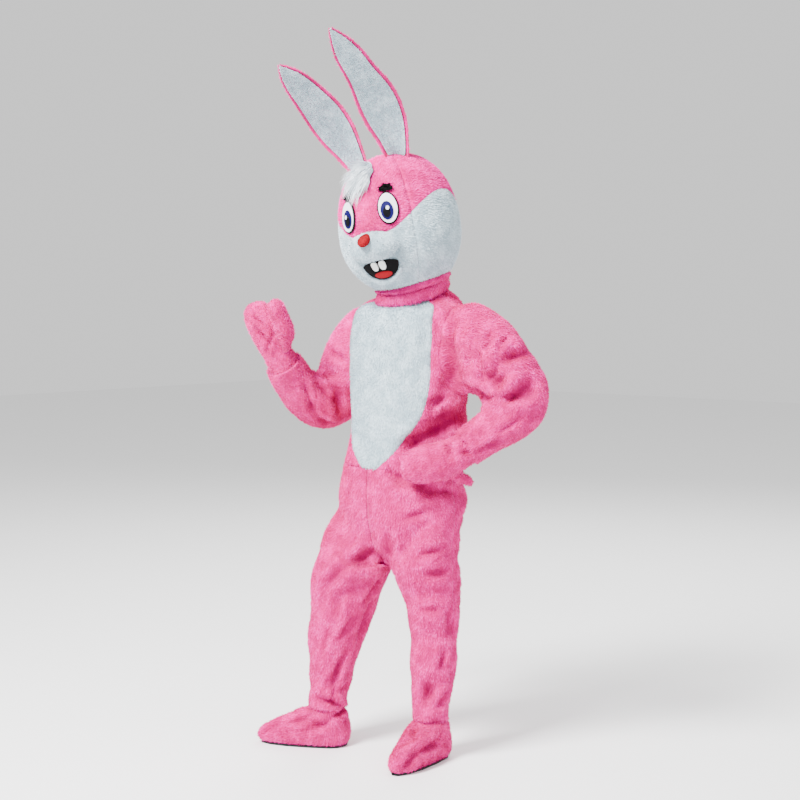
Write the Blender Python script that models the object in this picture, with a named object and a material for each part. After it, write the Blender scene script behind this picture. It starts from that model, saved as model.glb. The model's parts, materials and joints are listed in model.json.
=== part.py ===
"""Rabbit costume of long-pile plush, as it stands when it is worn.

It is a jumpsuit with mitts and feet, and a big hollow head. The wearer looks along -Y, their left side is
+X, and the floor is HELD_HEIGHT below the origin, which lies between the shoulders, where the suit hangs.
Every cloth piece is a closed wall that runs from the backing's inside to the tips of the pile. Pieces that
are sewn together share their edge points and stand a seam's gap apart.
"""

import math
from collections import namedtuple

import bpy
import numpy as np

# Driving sizes, in metres. Heights are above the floor.
HELD_HEIGHT = 1.30
WAIST_HEIGHT = 0.885
CROTCH_HEIGHT = 0.575
PLUSH = 0.008
HEAD_WALL = 0.012
HALF_SEAM = 0.00016
NEST_GAP = 0.0006
LIFT = 0.0005

PINK = (0.86, 0.13, 0.36)
WHITE = (0.78, 0.82, 0.84)
BLACK = (0.012, 0.010, 0.014)
RED = (0.62, 0.02, 0.03)
BLUE = (0.03, 0.03, 0.19)
SOLE_GREY = (0.05, 0.05, 0.055)

# Jumpsuit body, one row for each level. left and rear shift the section's middle, and dip lowers its front.
BodyRow = namedtuple("BodyRow", "height half_width front rear left back dip belly_edge")
BODY = (
    BodyRow(0.885, 0.189, 0.163, 0.146, 0.009, 0.006, 0.000, 7.0),
    BodyRow(0.925, 0.186, 0.161, 0.144, 0.010, 0.007, 0.000, 21.0),
    BodyRow(0.970, 0.186, 0.159, 0.143, 0.014, 0.010, 0.000, 32.0),
    BodyRow(1.015, 0.192, 0.158, 0.143, 0.020, 0.014, 0.000, 39.5),
    BodyRow(1.060, 0.196, 0.157, 0.144, 0.024, 0.017, 0.000, 46.0),
    BodyRow(1.105, 0.199, 0.155, 0.145, 0.024, 0.018, 0.000, 49.0),
    BodyRow(1.158, 0.201, 0.153, 0.145, 0.023, 0.018, 0.000, 51.0),
    BodyRow(1.212, 0.202, 0.150, 0.144, 0.022, 0.018, 0.000, 51.0),
    BodyRow(1.266, 0.201, 0.144, 0.142, 0.021, 0.018, 0.000, 51.0),
    BodyRow(1.324, 0.198, 0.133, 0.137, 0.021, 0.018, 0.004, 51.0),
    BodyRow(1.368, 0.182, 0.116, 0.126, 0.022, 0.018, 0.014, 54.0),
    BodyRow(1.389, 0.142, 0.103, 0.114, 0.024, 0.020, 0.026, 62.0),
    BodyRow(1.396, 0.103, 0.095, 0.101, 0.025, 0.022, 0.033, 70.0),
    BodyRow(1.412, 0.094, 0.091, 0.093, 0.026, 0.024, 0.034, 72.0),
)
BODY_COLUMNS = 28
BELLY_COLUMN, ARMHOLE_FRONT, SIDE_COLUMN, ARMHOLE_REAR, BACK_COLUMN = 4, 6, 8, 10, 14
ARMHOLE_FRONT_ANGLE, SIDE_ANGLE, ARMHOLE_REAR_ANGLE, BACK_ANGLE = 60.0, 90.0, 123.0, 180.0
ARMHOLE_LOW, ARMHOLE_HIGH = 5, 10

# Seat of the trousers, above the crotch, as half sections that meet on the middle seam.
SeatRow = namedtuple("SeatRow", "height half_width front rear left back")
SEAT = (
    SeatRow(0.885, 0.189, 0.163, 0.146, 0.009, 0.006),
    SeatRow(0.850, 0.196, 0.163, 0.150, 0.008, 0.004),
    SeatRow(0.800, 0.206, 0.163, 0.158, 0.006, 0.002),
    SeatRow(0.745, 0.213, 0.162, 0.162, 0.006, 0.000),
    SeatRow(0.680, 0.217, 0.160, 0.160, 0.006, -0.003),
    SeatRow(0.600, 0.214, 0.156, 0.150, 0.006, -0.006),
    SeatRow(0.540, 0.205, 0.150, 0.140, 0.006, -0.006),
)
SEAT_ROWS_ABOVE = (0.885, 0.850, 0.812)
SEAT_ROWS_TO_CROTCH = 7
CROTCH_BACK = -0.030
OUTER_RISE = 0.040

# Legs below the crotch. turn swings the inner seam round towards the front, in degrees.
LegRow = namedtuple("LegRow", "height left back across along turn")
LEFT_LEG = (
    LegRow(0.575, 0.111, -0.018, 0.100, 0.106, 7.0),
    LegRow(0.530, 0.120, -0.010, 0.094, 0.099, 4.0),
    LegRow(0.450, 0.130, -0.001, 0.081, 0.086, 0.0),
    LegRow(0.380, 0.133, 0.003, 0.073, 0.078, 0.0),
    LegRow(0.290, 0.129, 0.004, 0.070, 0.074, 0.0),
    LegRow(0.200, 0.126, 0.001, 0.061, 0.065, 0.0),
    LegRow(0.158, 0.123, -0.004, 0.055, 0.057, 0.0),
    LegRow(0.122, 0.123, -0.004, 0.055, 0.057, 0.0),
)
RIGHT_LEG = (
    LegRow(0.575, -0.113, -0.070, 0.117, 0.113, -21.0),
    LegRow(0.530, -0.133, -0.076, 0.116, 0.111, -16.0),
    LegRow(0.450, -0.160, -0.078, 0.108, 0.104, -8.0),
    LegRow(0.380, -0.176, -0.082, 0.096, 0.093, -4.0),
    LegRow(0.290, -0.194, -0.090, 0.080, 0.081, 0.0),
    LegRow(0.200, -0.205, -0.096, 0.067, 0.069, 0.0),
    LegRow(0.155, -0.210, -0.100, 0.060, 0.062, 0.0),
    LegRow(0.122, -0.210, -0.100, 0.060, 0.062, 0.0),
)
LEG_ROWS_BELOW = (0.530, 0.495, 0.455, 0.415, 0.375, 0.335, 0.295, 0.255, 0.215, 0.182, 0.155, 0.122)
LEG_COLUMNS = 16
LEG_SIDE_COLUMN = 8

# Sleeves, from the armhole to the hem. upright is the radius that starts out vertical, level the other one.
SleeveRow = namedtuple("SleeveRow", "left back height upright level")
LEFT_SLEEVE = (
    SleeveRow(0.202, 0.020, 1.246, 0.122, 0.092),
    SleeveRow(0.248, 0.034, 1.254, 0.122, 0.095),
    SleeveRow(0.294, 0.048, 1.228, 0.112, 0.094),
    SleeveRow(0.337, 0.062, 1.177, 0.099, 0.092),
    SleeveRow(0.374, 0.078, 1.131, 0.092, 0.089),
    SleeveRow(0.390, 0.082, 1.082, 0.083, 0.084),
    SleeveRow(0.370, 0.066, 1.044, 0.073, 0.075),
    SleeveRow(0.340, 0.036, 1.014, 0.066, 0.068),
    SleeveRow(0.308, 0.004, 0.984, 0.061, 0.063),
    SleeveRow(0.278, -0.028, 0.954, 0.058, 0.059),
)
RIGHT_SLEEVE = (
    SleeveRow(-0.168, 0.018, 1.236, 0.118, 0.092),
    SleeveRow(-0.211, 0.020, 1.222, 0.108, 0.091),
    SleeveRow(-0.238, 0.024, 1.184, 0.086, 0.090),
    SleeveRow(-0.252, 0.028, 1.146, 0.073, 0.088),
    SleeveRow(-0.260, 0.026, 1.106, 0.067, 0.086),
    SleeveRow(-0.272, 0.006, 1.070, 0.068, 0.083),
    SleeveRow(-0.294, -0.036, 1.058, 0.069, 0.078),
    SleeveRow(-0.317, -0.080, 1.088, 0.066, 0.073),
    SleeveRow(-0.330, -0.122, 1.136, 0.062, 0.067),
    SleeveRow(-0.334, -0.162, 1.186, 0.057, 0.060),
)
SLEEVE_ROWS = 16
SLEEVE_EASE_ROWS = 4
LEAST_RING_GAP = 0.010

# Mitts, from inside the sleeve's hem to the finger tips. wide and thick are half sizes across the palm.
MittRow = namedtuple("MittRow", "left back height wide thick")
LEFT_MITT = (
    MittRow(0.300, -0.006, 0.972, 0.0475, 0.0475),
    MittRow(0.278, -0.028, 0.952, 0.0480, 0.0480),
    MittRow(0.254, -0.054, 0.933, 0.053, 0.043),
    MittRow(0.225, -0.080, 0.917, 0.057, 0.038),
    MittRow(0.198, -0.103, 0.908, 0.058, 0.036),
    MittRow(0.173, -0.126, 0.902, 0.054, 0.033),
    MittRow(0.154, -0.146, 0.899, 0.044, 0.028),
    MittRow(0.143, -0.157, 0.898, 0.028, 0.020),
    MittRow(0.139, -0.161, 0.898, 0.0, 0.0),
)
RIGHT_MITT = (
    MittRow(-0.334, -0.150, 1.160, 0.0465, 0.0465),
    MittRow(-0.334, -0.162, 1.186, 0.0470, 0.0470),
    MittRow(-0.341, -0.178, 1.218, 0.050, 0.042),
    MittRow(-0.351, -0.196, 1.256, 0.054, 0.040),
    MittRow(-0.361, -0.213, 1.294, 0.057, 0.039),
    MittRow(-0.369, -0.228, 1.328, 0.055, 0.037),
    MittRow(-0.374, -0.238, 1.356, 0.045, 0.031),
    MittRow(-0.376, -0.243, 1.372, 0.028, 0.020),
    MittRow(-0.377, -0.245, 1.377, 0.0, 0.0),
)
# Thumbs turn about the edge of their hole that they lean towards, then rise past it.
ThumbRow = namedtuple("ThumbRow", "turn rise reach towards across")
THUMB = (
    ThumbRow(30.0, 0.000, 0.0360, 0.0335, 0.0235),
    ThumbRow(60.0, 0.000, 0.0335, 0.0310, 0.0260),
    ThumbRow(90.0, 0.000, 0.0320, 0.0290, 0.0275),
    ThumbRow(90.0, 0.028, 0.0340, 0.0290, 0.0285),
    ThumbRow(90.0, 0.055, 0.0375, 0.0275, 0.0270),
    ThumbRow(90.0, 0.073, 0.0395, 0.0190, 0.0190),
    ThumbRow(90.0, 0.081, 0.0400, 0.0000, 0.0000),
)

# Feet, round the ankle's upright line. toe and heel are reaches along the foot.
FootRow = namedtuple("FootRow", "height toe heel half_width")
FOOT = (
    FootRow(0.0058, 0.214, 0.062, 0.052),
    FootRow(0.022, 0.224, 0.070, 0.060),
    FootRow(0.046, 0.214, 0.072, 0.061),
    FootRow(0.066, 0.182, 0.070, 0.060),
    FootRow(0.082, 0.152, 0.066, 0.058),
    FootRow(0.096, 0.116, 0.062, 0.057),
    FootRow(0.110, 0.080, 0.056, 0.055),
)
NECK_ROLL = 0.006
SOLE_THICKNESS = 0.0055
ANKLE_OVERLAP = 0.026
LEFT_TOES_OUT, RIGHT_TOES_OUT = 9.0, 58.0

# The head in its own frame: its middle, how it is carried, and its radii.
HEAD_MIDDLE = (0.008, -0.006, 1.600)
HEAD_YAW, HEAD_PITCH, HEAD_ROLL = 10.0, 5.0, -10.0
HEAD_HALF_WIDTH, HEAD_HALF_DEPTH, HEAD_UP, HEAD_DOWN = 0.180, 0.188, 0.224, 0.213
HEAD_FULLNESS = 2.3
CHEEK_BULGE, CHEEK_AZIMUTH, CHEEK_ELEVATION, CHEEK_SPREAD = 0.010, 64.0, -18.0, 30.0
HEAD_COLUMNS = 28
BROW_COLUMN, CHEEK_REAR_COLUMN, NAPE_COLUMN = 4, 12, 14
BROW_AZIMUTH = 42.0
OPENING_FRONT, OPENING_BACK = -61.0, -49.0
LOWER_HEAD_ROWS, UPPER_HEAD_ROWS = 6, 8
# Where the white lower face meets the pink cap, in degrees round from the front and up.
BorderRow = namedtuple("BorderRow", "azimuth elevation")
BORDER = (
    BorderRow(0.0, -3.0),
    BorderRow(21.0, -3.0),
    BorderRow(42.0, 9.0),
    BorderRow(60.0, 20.0),
    BorderRow(78.0, 26.0),
    BorderRow(98.0, 26.0),
    BorderRow(118.0, 17.0),
    BorderRow(138.0, -2.0),
    BorderRow(152.0, -16.0),
    BorderRow(180.0, -18.0),
)

# Face pieces, each on the head at an azimuth and elevation, with half sizes in metres.
FacePiece = namedtuple("FacePiece", "azimuth elevation half_width up down lift thickness")
EYE = {
    "rim": FacePiece(22.0, 16.0, 0.032, 0.048, 0.048, LIFT, 0.0025),
    "white": FacePiece(22.0, 16.0, 0.0275, 0.043, 0.043, LIFT + 0.0029, 0.0020),
    "iris": FacePiece(21.0, 14.0, 0.0185, 0.027, 0.027, LIFT + 0.0053, 0.0015),
    "pupil": FacePiece(20.6, 12.5, 0.0105, 0.015, 0.015, LIFT + 0.0072, 0.0012),
    "glint": FacePiece(22.0, 16.0, 0.0050, 0.0058, 0.0058, LIFT + 0.0088, 0.0010),
}
LASH = FacePiece(23.0, 32.5, 0.020, 0.017, 0.004, LIFT, 0.0040)
MUZZLE = FacePiece(0.0, -14.0, 0.086, 0.044, 0.040, 0.0010, 0.040)
NOSE = FacePiece(0.0, -7.0, 0.0165, 0.0165, 0.0150, LIFT, 0.0200)
MOUTH = FacePiece(0.0, -31.0, 0.062, 0.012, 0.050, 0.0008, 0.0020)
TONGUE = FacePiece(0.0, -40.5, 0.030, 0.010, 0.0135, LIFT + 0.0026, 0.0030)
TOOTH = FacePiece(4.4, -31.0, 0.0100, 0.012, 0.016, LIFT + 0.0026, 0.0055)
FORELOCK = FacePiece(-8.0, 51.0, 0.042, 0.052, 0.062, 0.0010, 0.0140)

# Ears in the head's frame: a spine of points, the half width there, and how far the edges curl forward.
EarRow = namedtuple("EarRow", "share left forward up half_width curl facing")
LEFT_EAR = (
    EarRow(0.00, 0.050, 0.026, 0.180, 0.032, 0.028, 30.0),
    EarRow(0.12, 0.057, 0.040, 0.250, 0.046, 0.024, 30.0),
    EarRow(0.30, 0.062, 0.074, 0.322, 0.063, 0.016, 28.0),
    EarRow(0.48, 0.066, 0.118, 0.392, 0.062, 0.010, 24.0),
    EarRow(0.64, 0.068, 0.170, 0.450, 0.048, 0.010, 20.0),
    EarRow(0.80, 0.070, 0.226, 0.504, 0.043, 0.008, 18.0),
    EarRow(0.92, 0.071, 0.270, 0.544, 0.026, 0.005, 18.0),
    EarRow(1.00, 0.071, 0.298, 0.570, 0.007, 0.001, 18.0),
)
RIGHT_EAR = (
    EarRow(0.00, -0.066, 0.026, 0.180, 0.032, 0.028, 0.0),
    EarRow(0.12, -0.084, 0.044, 0.246, 0.046, 0.024, 4.0),
    EarRow(0.30, -0.100, 0.080, 0.312, 0.061, 0.016, 10.0),
    EarRow(0.48, -0.110, 0.124, 0.374, 0.062, 0.010, 14.0),
    EarRow(0.64, -0.116, 0.174, 0.424, 0.052, 0.010, 16.0),
    EarRow(0.80, -0.120, 0.228, 0.468, 0.042, 0.008, 16.0),
    EarRow(0.92, -0.122, 0.268, 0.496, 0.026, 0.005, 16.0),
    EarRow(1.00, -0.123, 0.294, 0.514, 0.007, 0.001, 16.0),
)
EAR_ROWS, EAR_COLUMNS = 13, 6
EAR_OUTER_WALL, EAR_INNER_WALL, EAR_MARGIN = 0.007, 0.005, 0.86
# The head's flat facets lie this far inside its curve where an ear stands on them.
EAR_SINK = 0.0005

# Largest folds. along runs from the piece's start to its end and round goes once about it, both as shares.
Fold = namedtuple("Fold", "along_from round_from along_to round_to half_width depth")
BODY_FOLDS = (
    Fold(0.44, 0.20, 0.12, 0.13, 0.030, 0.021),
    Fold(0.32, 0.23, 0.02, 0.17, 0.028, 0.018),
    Fold(0.56, 0.15, 0.84, 0.14, 0.026, 0.017),
    Fold(0.44, -0.20, 0.12, -0.13, 0.030, 0.018),
    Fold(0.32, -0.23, 0.04, -0.18, 0.028, 0.015),
    Fold(0.42, 0.32, 0.10, 0.42, 0.032, 0.018),
    Fold(0.42, -0.32, 0.10, -0.42, 0.032, 0.018),
    Fold(0.66, 0.40, 0.30, 0.46, 0.030, 0.012),
)
LEFT_LEG_FOLDS = (
    Fold(0.44, 0.06, 0.20, 0.30, 0.030, 0.018),
    Fold(0.54, 0.12, 0.48, 0.40, 0.028, 0.013),
    Fold(0.70, 0.14, 0.64, 0.42, 0.024, 0.013),
    Fold(0.84, 0.16, 0.93, 0.44, 0.020, 0.012),
    Fold(0.44, 0.92, 0.26, 0.66, 0.032, 0.021),
    Fold(0.64, 0.92, 0.70, 0.62, 0.026, 0.013),
    Fold(0.90, 0.60, 0.84, 0.90, 0.020, 0.011),
)
RIGHT_LEG_FOLDS = (
    Fold(0.44, 0.08, 0.62, 0.40, 0.030, 0.021),
    Fold(0.54, 0.99, 0.78, 0.10, 0.026, 0.015),
    Fold(0.58, 0.12, 0.82, 0.36, 0.024, 0.015),
    Fold(0.24, 0.16, 0.18, 0.38, 0.030, 0.012),
    Fold(0.85, 0.16, 0.93, 0.42, 0.020, 0.012),
    Fold(0.50, 0.88, 0.32, 0.62, 0.032, 0.019),
    Fold(0.90, 0.62, 0.84, 0.88, 0.020, 0.011),
)
LEFT_SLEEVE_FOLDS = (
    Fold(0.06, 0.32, 0.36, 0.28, 0.024, 0.018),
    Fold(0.10, 0.16, 0.46, 0.12, 0.024, 0.015),
    Fold(0.52, 0.36, 0.58, 0.10, 0.020, 0.015),
    Fold(0.66, 0.40, 0.86, 0.20, 0.018, 0.012),
    Fold(0.52, 0.64, 0.58, 0.90, 0.020, 0.015),
    Fold(0.70, 0.58, 0.84, 0.80, 0.018, 0.011),
)
RIGHT_SLEEVE_FOLDS = (
    Fold(0.08, 0.72, 0.36, 0.78, 0.024, 0.017),
    Fold(0.52, 0.86, 0.58, 0.12, 0.018, 0.011),
    Fold(0.64, 0.90, 0.70, 0.14, 0.018, 0.011),
    Fold(0.68, 0.58, 0.84, 0.80, 0.018, 0.011),
    Fold(0.08, 0.28, 0.36, 0.22, 0.024, 0.015),
)


# Curves and frames

def smooth_at(keys, values, at):
    """A smooth curve through a table's values, read at one or more places."""
    keys, values, at = np.asarray(keys, float), np.asarray(values, float), np.asarray(at, float)
    if keys[0] > keys[-1]:
        keys, values = keys[::-1], values[::-1]
    slopes = np.gradient(values, keys)
    at = np.clip(at, keys[0], keys[-1])
    i = np.clip(np.searchsorted(keys, at, side="right") - 1, 0, len(keys) - 2)
    span = keys[i + 1] - keys[i]
    s = (at - keys[i]) / span
    start = (1 + 2 * s) * (1 - s) ** 2 * values[i] + s * (1 - s) ** 2 * span * slopes[i]
    end = s * s * (3 - 2 * s) * values[i + 1] + s * s * (s - 1) * span * slopes[i + 1]
    return start + end


def column_at(rows, name, at):
    """A named column of a table whose first column is the key."""
    return smooth_at([row[0] for row in rows], [getattr(row, name) for row in rows], at)


def unit(vector):
    vector = np.asarray(vector, float)
    return vector / np.maximum(np.linalg.norm(vector, axis=-1, keepdims=True), 1e-12)


def ease(share):
    share = np.clip(share, 0.0, 1.0)
    return share * share * (3.0 - 2.0 * share)


def turn_about_z(degrees):
    a = math.radians(degrees)
    return np.array([[math.cos(a), -math.sin(a), 0], [math.sin(a), math.cos(a), 0], [0, 0, 1.0]])


def head_axes():
    """Rotation from the head's own frame to the costume's: roll to the wearer's right, nod, then turn."""
    pitch, roll = math.radians(HEAD_PITCH), math.radians(HEAD_ROLL)
    up, along = math.sin(pitch), math.cos(pitch)
    nod = np.array([[1, 0, 0], [0, along, -up], [0, up, along]])
    aside, level = math.sin(roll), math.cos(roll)
    tip = np.array([[level, 0, aside], [0, 1, 0], [-aside, 0, level]])
    return turn_about_z(HEAD_YAW) @ nod @ tip


HEAD_AXES = head_axes()


def from_head(points):
    """Points in the head's frame, brought to the costume's."""
    return np.asarray(points) @ HEAD_AXES.T + np.array(HEAD_MIDDLE)


# Grids of points: rows run along a piece and columns round it

def grid_normals(grid, wrap):
    """Outward unit normals at a grid's points, from the faces that meet there."""
    around = np.concatenate([grid, grid[:, :1]], axis=1) if wrap else grid
    du = around[1:, :-1] - around[:-1, :-1]
    dv = around[:-1, 1:] - around[:-1, :-1]
    du2 = around[1:, 1:] - around[:-1, 1:]
    dv2 = around[1:, 1:] - around[1:, :-1]
    faces = np.cross(dv, du) + np.cross(dv2, du2)
    rows, columns = grid.shape[:2]
    total = np.zeros((rows, columns + (1 if wrap else 0), 3))
    for di in (0, 1):
        for dj in (0, 1):
            total[di:di + rows - 1, dj:dj + faces.shape[1]] += faces
    if wrap:
        total[:, 0] += total[:, -1]
        total = total[:, :-1]
    middle = grid.mean(axis=1, keepdims=True) if wrap else None
    normals = unit(total)
    if wrap and np.sum((grid - middle) * normals) < 0:
        normals = -normals
    return normals


def folded(grid, normals, folds, length, girth, along, around):
    """The grid with each fold pressed in along its line, soft at both ends."""
    depth = np.zeros(grid.shape[:2])
    for fold in folds:
        line = np.array([
            (fold.along_to - fold.along_from) * length,
            ((fold.round_to - fold.round_from + 0.5) % 1.0 - 0.5) * girth,
        ])
        across = np.stack([
            (along - fold.along_from) * length,
            ((around - fold.round_from + 0.5) % 1.0 - 0.5) * girth,
        ], axis=-1)
        share = np.clip(across @ line / (line @ line), 0.0, 1.0)
        apart = np.linalg.norm(across - share[..., None] * line, axis=-1)
        fade = 0.45 + 0.55 * np.sin(np.pi * np.clip(share, 0.06, 0.94))
        depth += fold.depth * fade * np.exp(-((apart / fold.half_width) ** 2))
    return grid - normals * depth[..., None]


def unfolded(grid, least):
    """The grid with its points spread along it wherever two rings stand closer than least, as in a bend."""
    grid = grid.copy()
    for _ in range(60):
        middle = grid.mean(axis=1)
        heading = unit(middle[1:] - middle[:-1])
        advance = np.einsum("ijk,ik->ij", grid[1:] - grid[:-1], heading)
        short = np.clip((least - advance) / least, 0.0, 1.0)
        need = np.maximum(short[1:], short[:-1])[..., None]
        need = np.maximum(need, 0.5 * np.maximum(np.roll(need, 1, axis=1), np.roll(need, -1, axis=1)))
        grid[1:-1] += 0.5 * need * (0.5 * (grid[2:] + grid[:-2]) - grid[1:-1])
    return grid


def swept_frames(path, first_up):
    """Two unit axes across each point of a path, carried along it without twist."""
    tangents = unit(np.gradient(path, axis=0))
    up = unit(first_up - tangents[0] * np.dot(first_up, tangents[0]))
    ups = [up]
    for tangent in tangents[1:]:
        up = unit(up - tangent * np.dot(up, tangent))
        ups.append(up)
    ups = np.array(ups)
    return tangents, ups, np.cross(tangents, ups)


# Solids

def material(name, colour, roughness):
    found = bpy.data.materials.get(name)
    if found:
        return found
    made = bpy.data.materials.new(name)
    made.use_nodes = True
    shader = made.node_tree.nodes["Principled BSDF"]
    shader.inputs["Base Color"].default_value = (*colour, 1.0)
    shader.inputs["Roughness"].default_value = roughness
    shader.inputs["Metallic"].default_value = 0.0
    return made


MATERIALS = {
    "pink_plush": (PINK, 0.9),
    "white_plush": (WHITE, 0.9),
    "white_shag": (WHITE, 0.9),
    "black_felt": (BLACK, 0.9),
    "red_felt": (RED, 0.8),
    "red_flock": (RED, 0.7),
    "white_vinyl": (WHITE, 0.4),
    "blue_vinyl": (BLUE, 0.35),
    "black_vinyl": (BLACK, 0.35),
    "tooth_foam": (WHITE, 0.6),
    "sole_rubber": (SOLE_GREY, 0.8),
}


def place(name, points, faces, finish):
    """One closed solid as an object, its mesh measured from the floor and hung from the origin."""
    corners = np.array([tuple(p) for p in points], float)
    swept = sum(
        np.dot(corners[face[0]], np.cross(corners[face[n - 1]], corners[face[n]]))
        for face in faces
        for n in range(2, len(face))
    )
    if swept < 0:
        faces = [face[::-1] for face in faces]
    mesh = bpy.data.meshes.new(name)
    mesh.from_pydata(corners.tolist(), [], faces)
    mesh.update()
    mesh.shade_smooth()
    mesh.set_sharp_from_angle(angle=math.radians(40))
    mesh.materials.append(material(finish, *MATERIALS[finish]))
    solid = bpy.data.objects.new(name, mesh)
    solid.location = (0.0, 0.0, -HELD_HEIGHT)
    bpy.context.scene.collection.objects.link(solid)
    return solid


def corner_key(point):
    return tuple(np.round(point, 6))


def sew(name, outer, inner, cells, finish, wrap=False, pole=False):
    """A wall over the grid's listed cells, pulled back from its edges by half a seam's gap."""
    rows, columns = outer.shape[:2]

    def corner(i, j):
        if pole and i == rows - 1:
            return (i, 0)
        return (i, j % columns if wrap else j)

    quads = []
    for i, j in cells:
        quad = [corner(i, j), corner(i, j + 1), corner(i + 1, j + 1), corner(i + 1, j)]
        quad = [c for n, c in enumerate(quad) if c != quad[n - 1]]
        quads.append(quad)
    first = quads[len(quads) // 2]
    a, b, c = (outer[first[n]] for n in range(3))
    out = outer[first[1]] - inner[first[1]]
    if np.dot(np.cross(b - a, c - b), out) < 0:
        quads = [quad[::-1] for quad in quads]

    edges = {(quad[n - 1], quad[n]) for quad in quads for n in range(len(quad))}
    rim = [edge for edge in edges if edge[::-1] not in edges]
    pull = {}
    for p, q in rim:
        tangent = unit(outer[q] - outer[p])
        for end in (p, q):
            inward = unit(np.cross(outer[end] - inner[end], tangent))
            pull.setdefault(end, []).append(inward)
    order = sorted({corner for quad in quads for corner in quad})
    index = {corner: n for n, corner in enumerate(order)}
    points_out, points_in = [], []
    for key in order:
        shift = np.zeros(3)
        if key in pull:
            mean = unit(np.mean(pull[key], axis=0))
            reach = max(min(float(np.dot(mean, m)) for m in pull[key]), 0.4)
            shift = mean * HALF_SEAM / reach
        points_out.append(outer[key] + shift)
        points_in.append(inner[key] + shift)
    count = len(order)
    faces = []
    for quad in quads:
        first = quad.index(min(quad))
        turned = quad[first:] + quad[:first]
        halves = [turned[:3]] if len(turned) == 3 else [turned[:3], [turned[0], turned[2], turned[3]]]
        for triangle in halves:
            faces.append([index[c] for c in triangle])
            faces.append([index[c] + count for c in triangle[::-1]])
    for p, q in sorted(rim):
        po, qo, pi, qi = index[p], index[q], index[p] + count, index[q] + count
        if corner_key(outer[p]) < corner_key(outer[q]):
            faces += [[qo, po, qi], [po, pi, qi]]
        else:
            faces += [[qo, po, pi], [qo, pi, qi]]
    return place(name, points_out + points_in, faces, finish)


def all_cells(rows, columns):
    return [(i, j) for i in range(rows) for j in range(columns)]


# Jumpsuit body

def body_point(row, column):
    """A point of the body at fractional row and column numbers; column 0 is the middle of the front."""
    turns, place_in_turn = divmod(column, BODY_COLUMNS)
    mirrored = place_in_turn > BACK_COLUMN
    half_column = BODY_COLUMNS - place_in_turn if mirrored else place_in_turn
    level = np.arange(len(BODY))
    read = {
        name: float(np.interp(row, level, [getattr(body_row, name) for body_row in BODY]))
        for name in BodyRow._fields
    }
    # Over the shoulder the belly's edge runs on past where the armhole's would be.
    armhole_front = max(ARMHOLE_FRONT_ANGLE, read["belly_edge"] + 8.0)
    angle = np.interp(
        half_column,
        (0, BELLY_COLUMN, ARMHOLE_FRONT, SIDE_COLUMN, ARMHOLE_REAR, BACK_COLUMN),
        (0.0, read["belly_edge"], armhole_front, SIDE_ANGLE, ARMHOLE_REAR_ANGLE, BACK_ANGLE),
    )
    angle = math.radians(angle)
    depth = read["front"] if math.cos(angle) > 0 else read["rear"]
    side = -1.0 if mirrored else 1.0
    x = side * read["half_width"] * math.sin(angle) ** 0.92 if math.sin(angle) > 0 else 0.0
    y = -depth * math.cos(angle)
    z = read["height"] - read["dip"] * math.cos(angle)
    return np.array([x + read["left"], y + read["back"], z]), side * math.degrees(angle) / 360.0


def body_grid():
    """The body's points, with the columns by each armhole rounded out so that the hole is an oval."""
    rows = len(BODY)
    grid = np.zeros((rows, BODY_COLUMNS, 3))
    around = np.zeros((rows, BODY_COLUMNS))
    middle_row = (ARMHOLE_LOW + ARMHOLE_HIGH) / 2
    half_rows = (ARMHOLE_HIGH - ARMHOLE_LOW) / 2
    half_columns = SIDE_COLUMN - ARMHOLE_FRONT
    for i in range(rows):
        for j in range(BODY_COLUMNS):
            side = SIDE_COLUMN if j <= BACK_COLUMN else BODY_COLUMNS - SIDE_COLUMN
            p, q = (i - middle_row) / half_rows, (j - side) / half_columns
            square, circle = max(abs(p), abs(q)), math.hypot(p, q)
            scale = 1.0
            if 0 < circle and square < 2.0:
                scale = 1.0 + (square / circle - 1.0) * (1.0 - ease(max(square - 1.0, 0.0)))
            row, column = middle_row + p * scale * half_rows, side + q * scale * half_columns
            grid[i, j], around[i, j] = body_point(row, column)
    return grid, around


def armhole_loop(side):
    """The grid corners round an armhole, from its top towards lower column numbers."""
    low, high = side - 2, side + 2
    loop = [(ARMHOLE_HIGH, j) for j in (side, side - 1)]
    loop += [(i, low) for i in range(ARMHOLE_HIGH, ARMHOLE_LOW, -1)]
    loop += [(ARMHOLE_LOW, j) for j in range(low, high)]
    loop += [(i, high) for i in range(ARMHOLE_LOW, ARMHOLE_HIGH)]
    loop += [(ARMHOLE_HIGH, j) for j in (high, high - 1)]
    return loop


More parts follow.
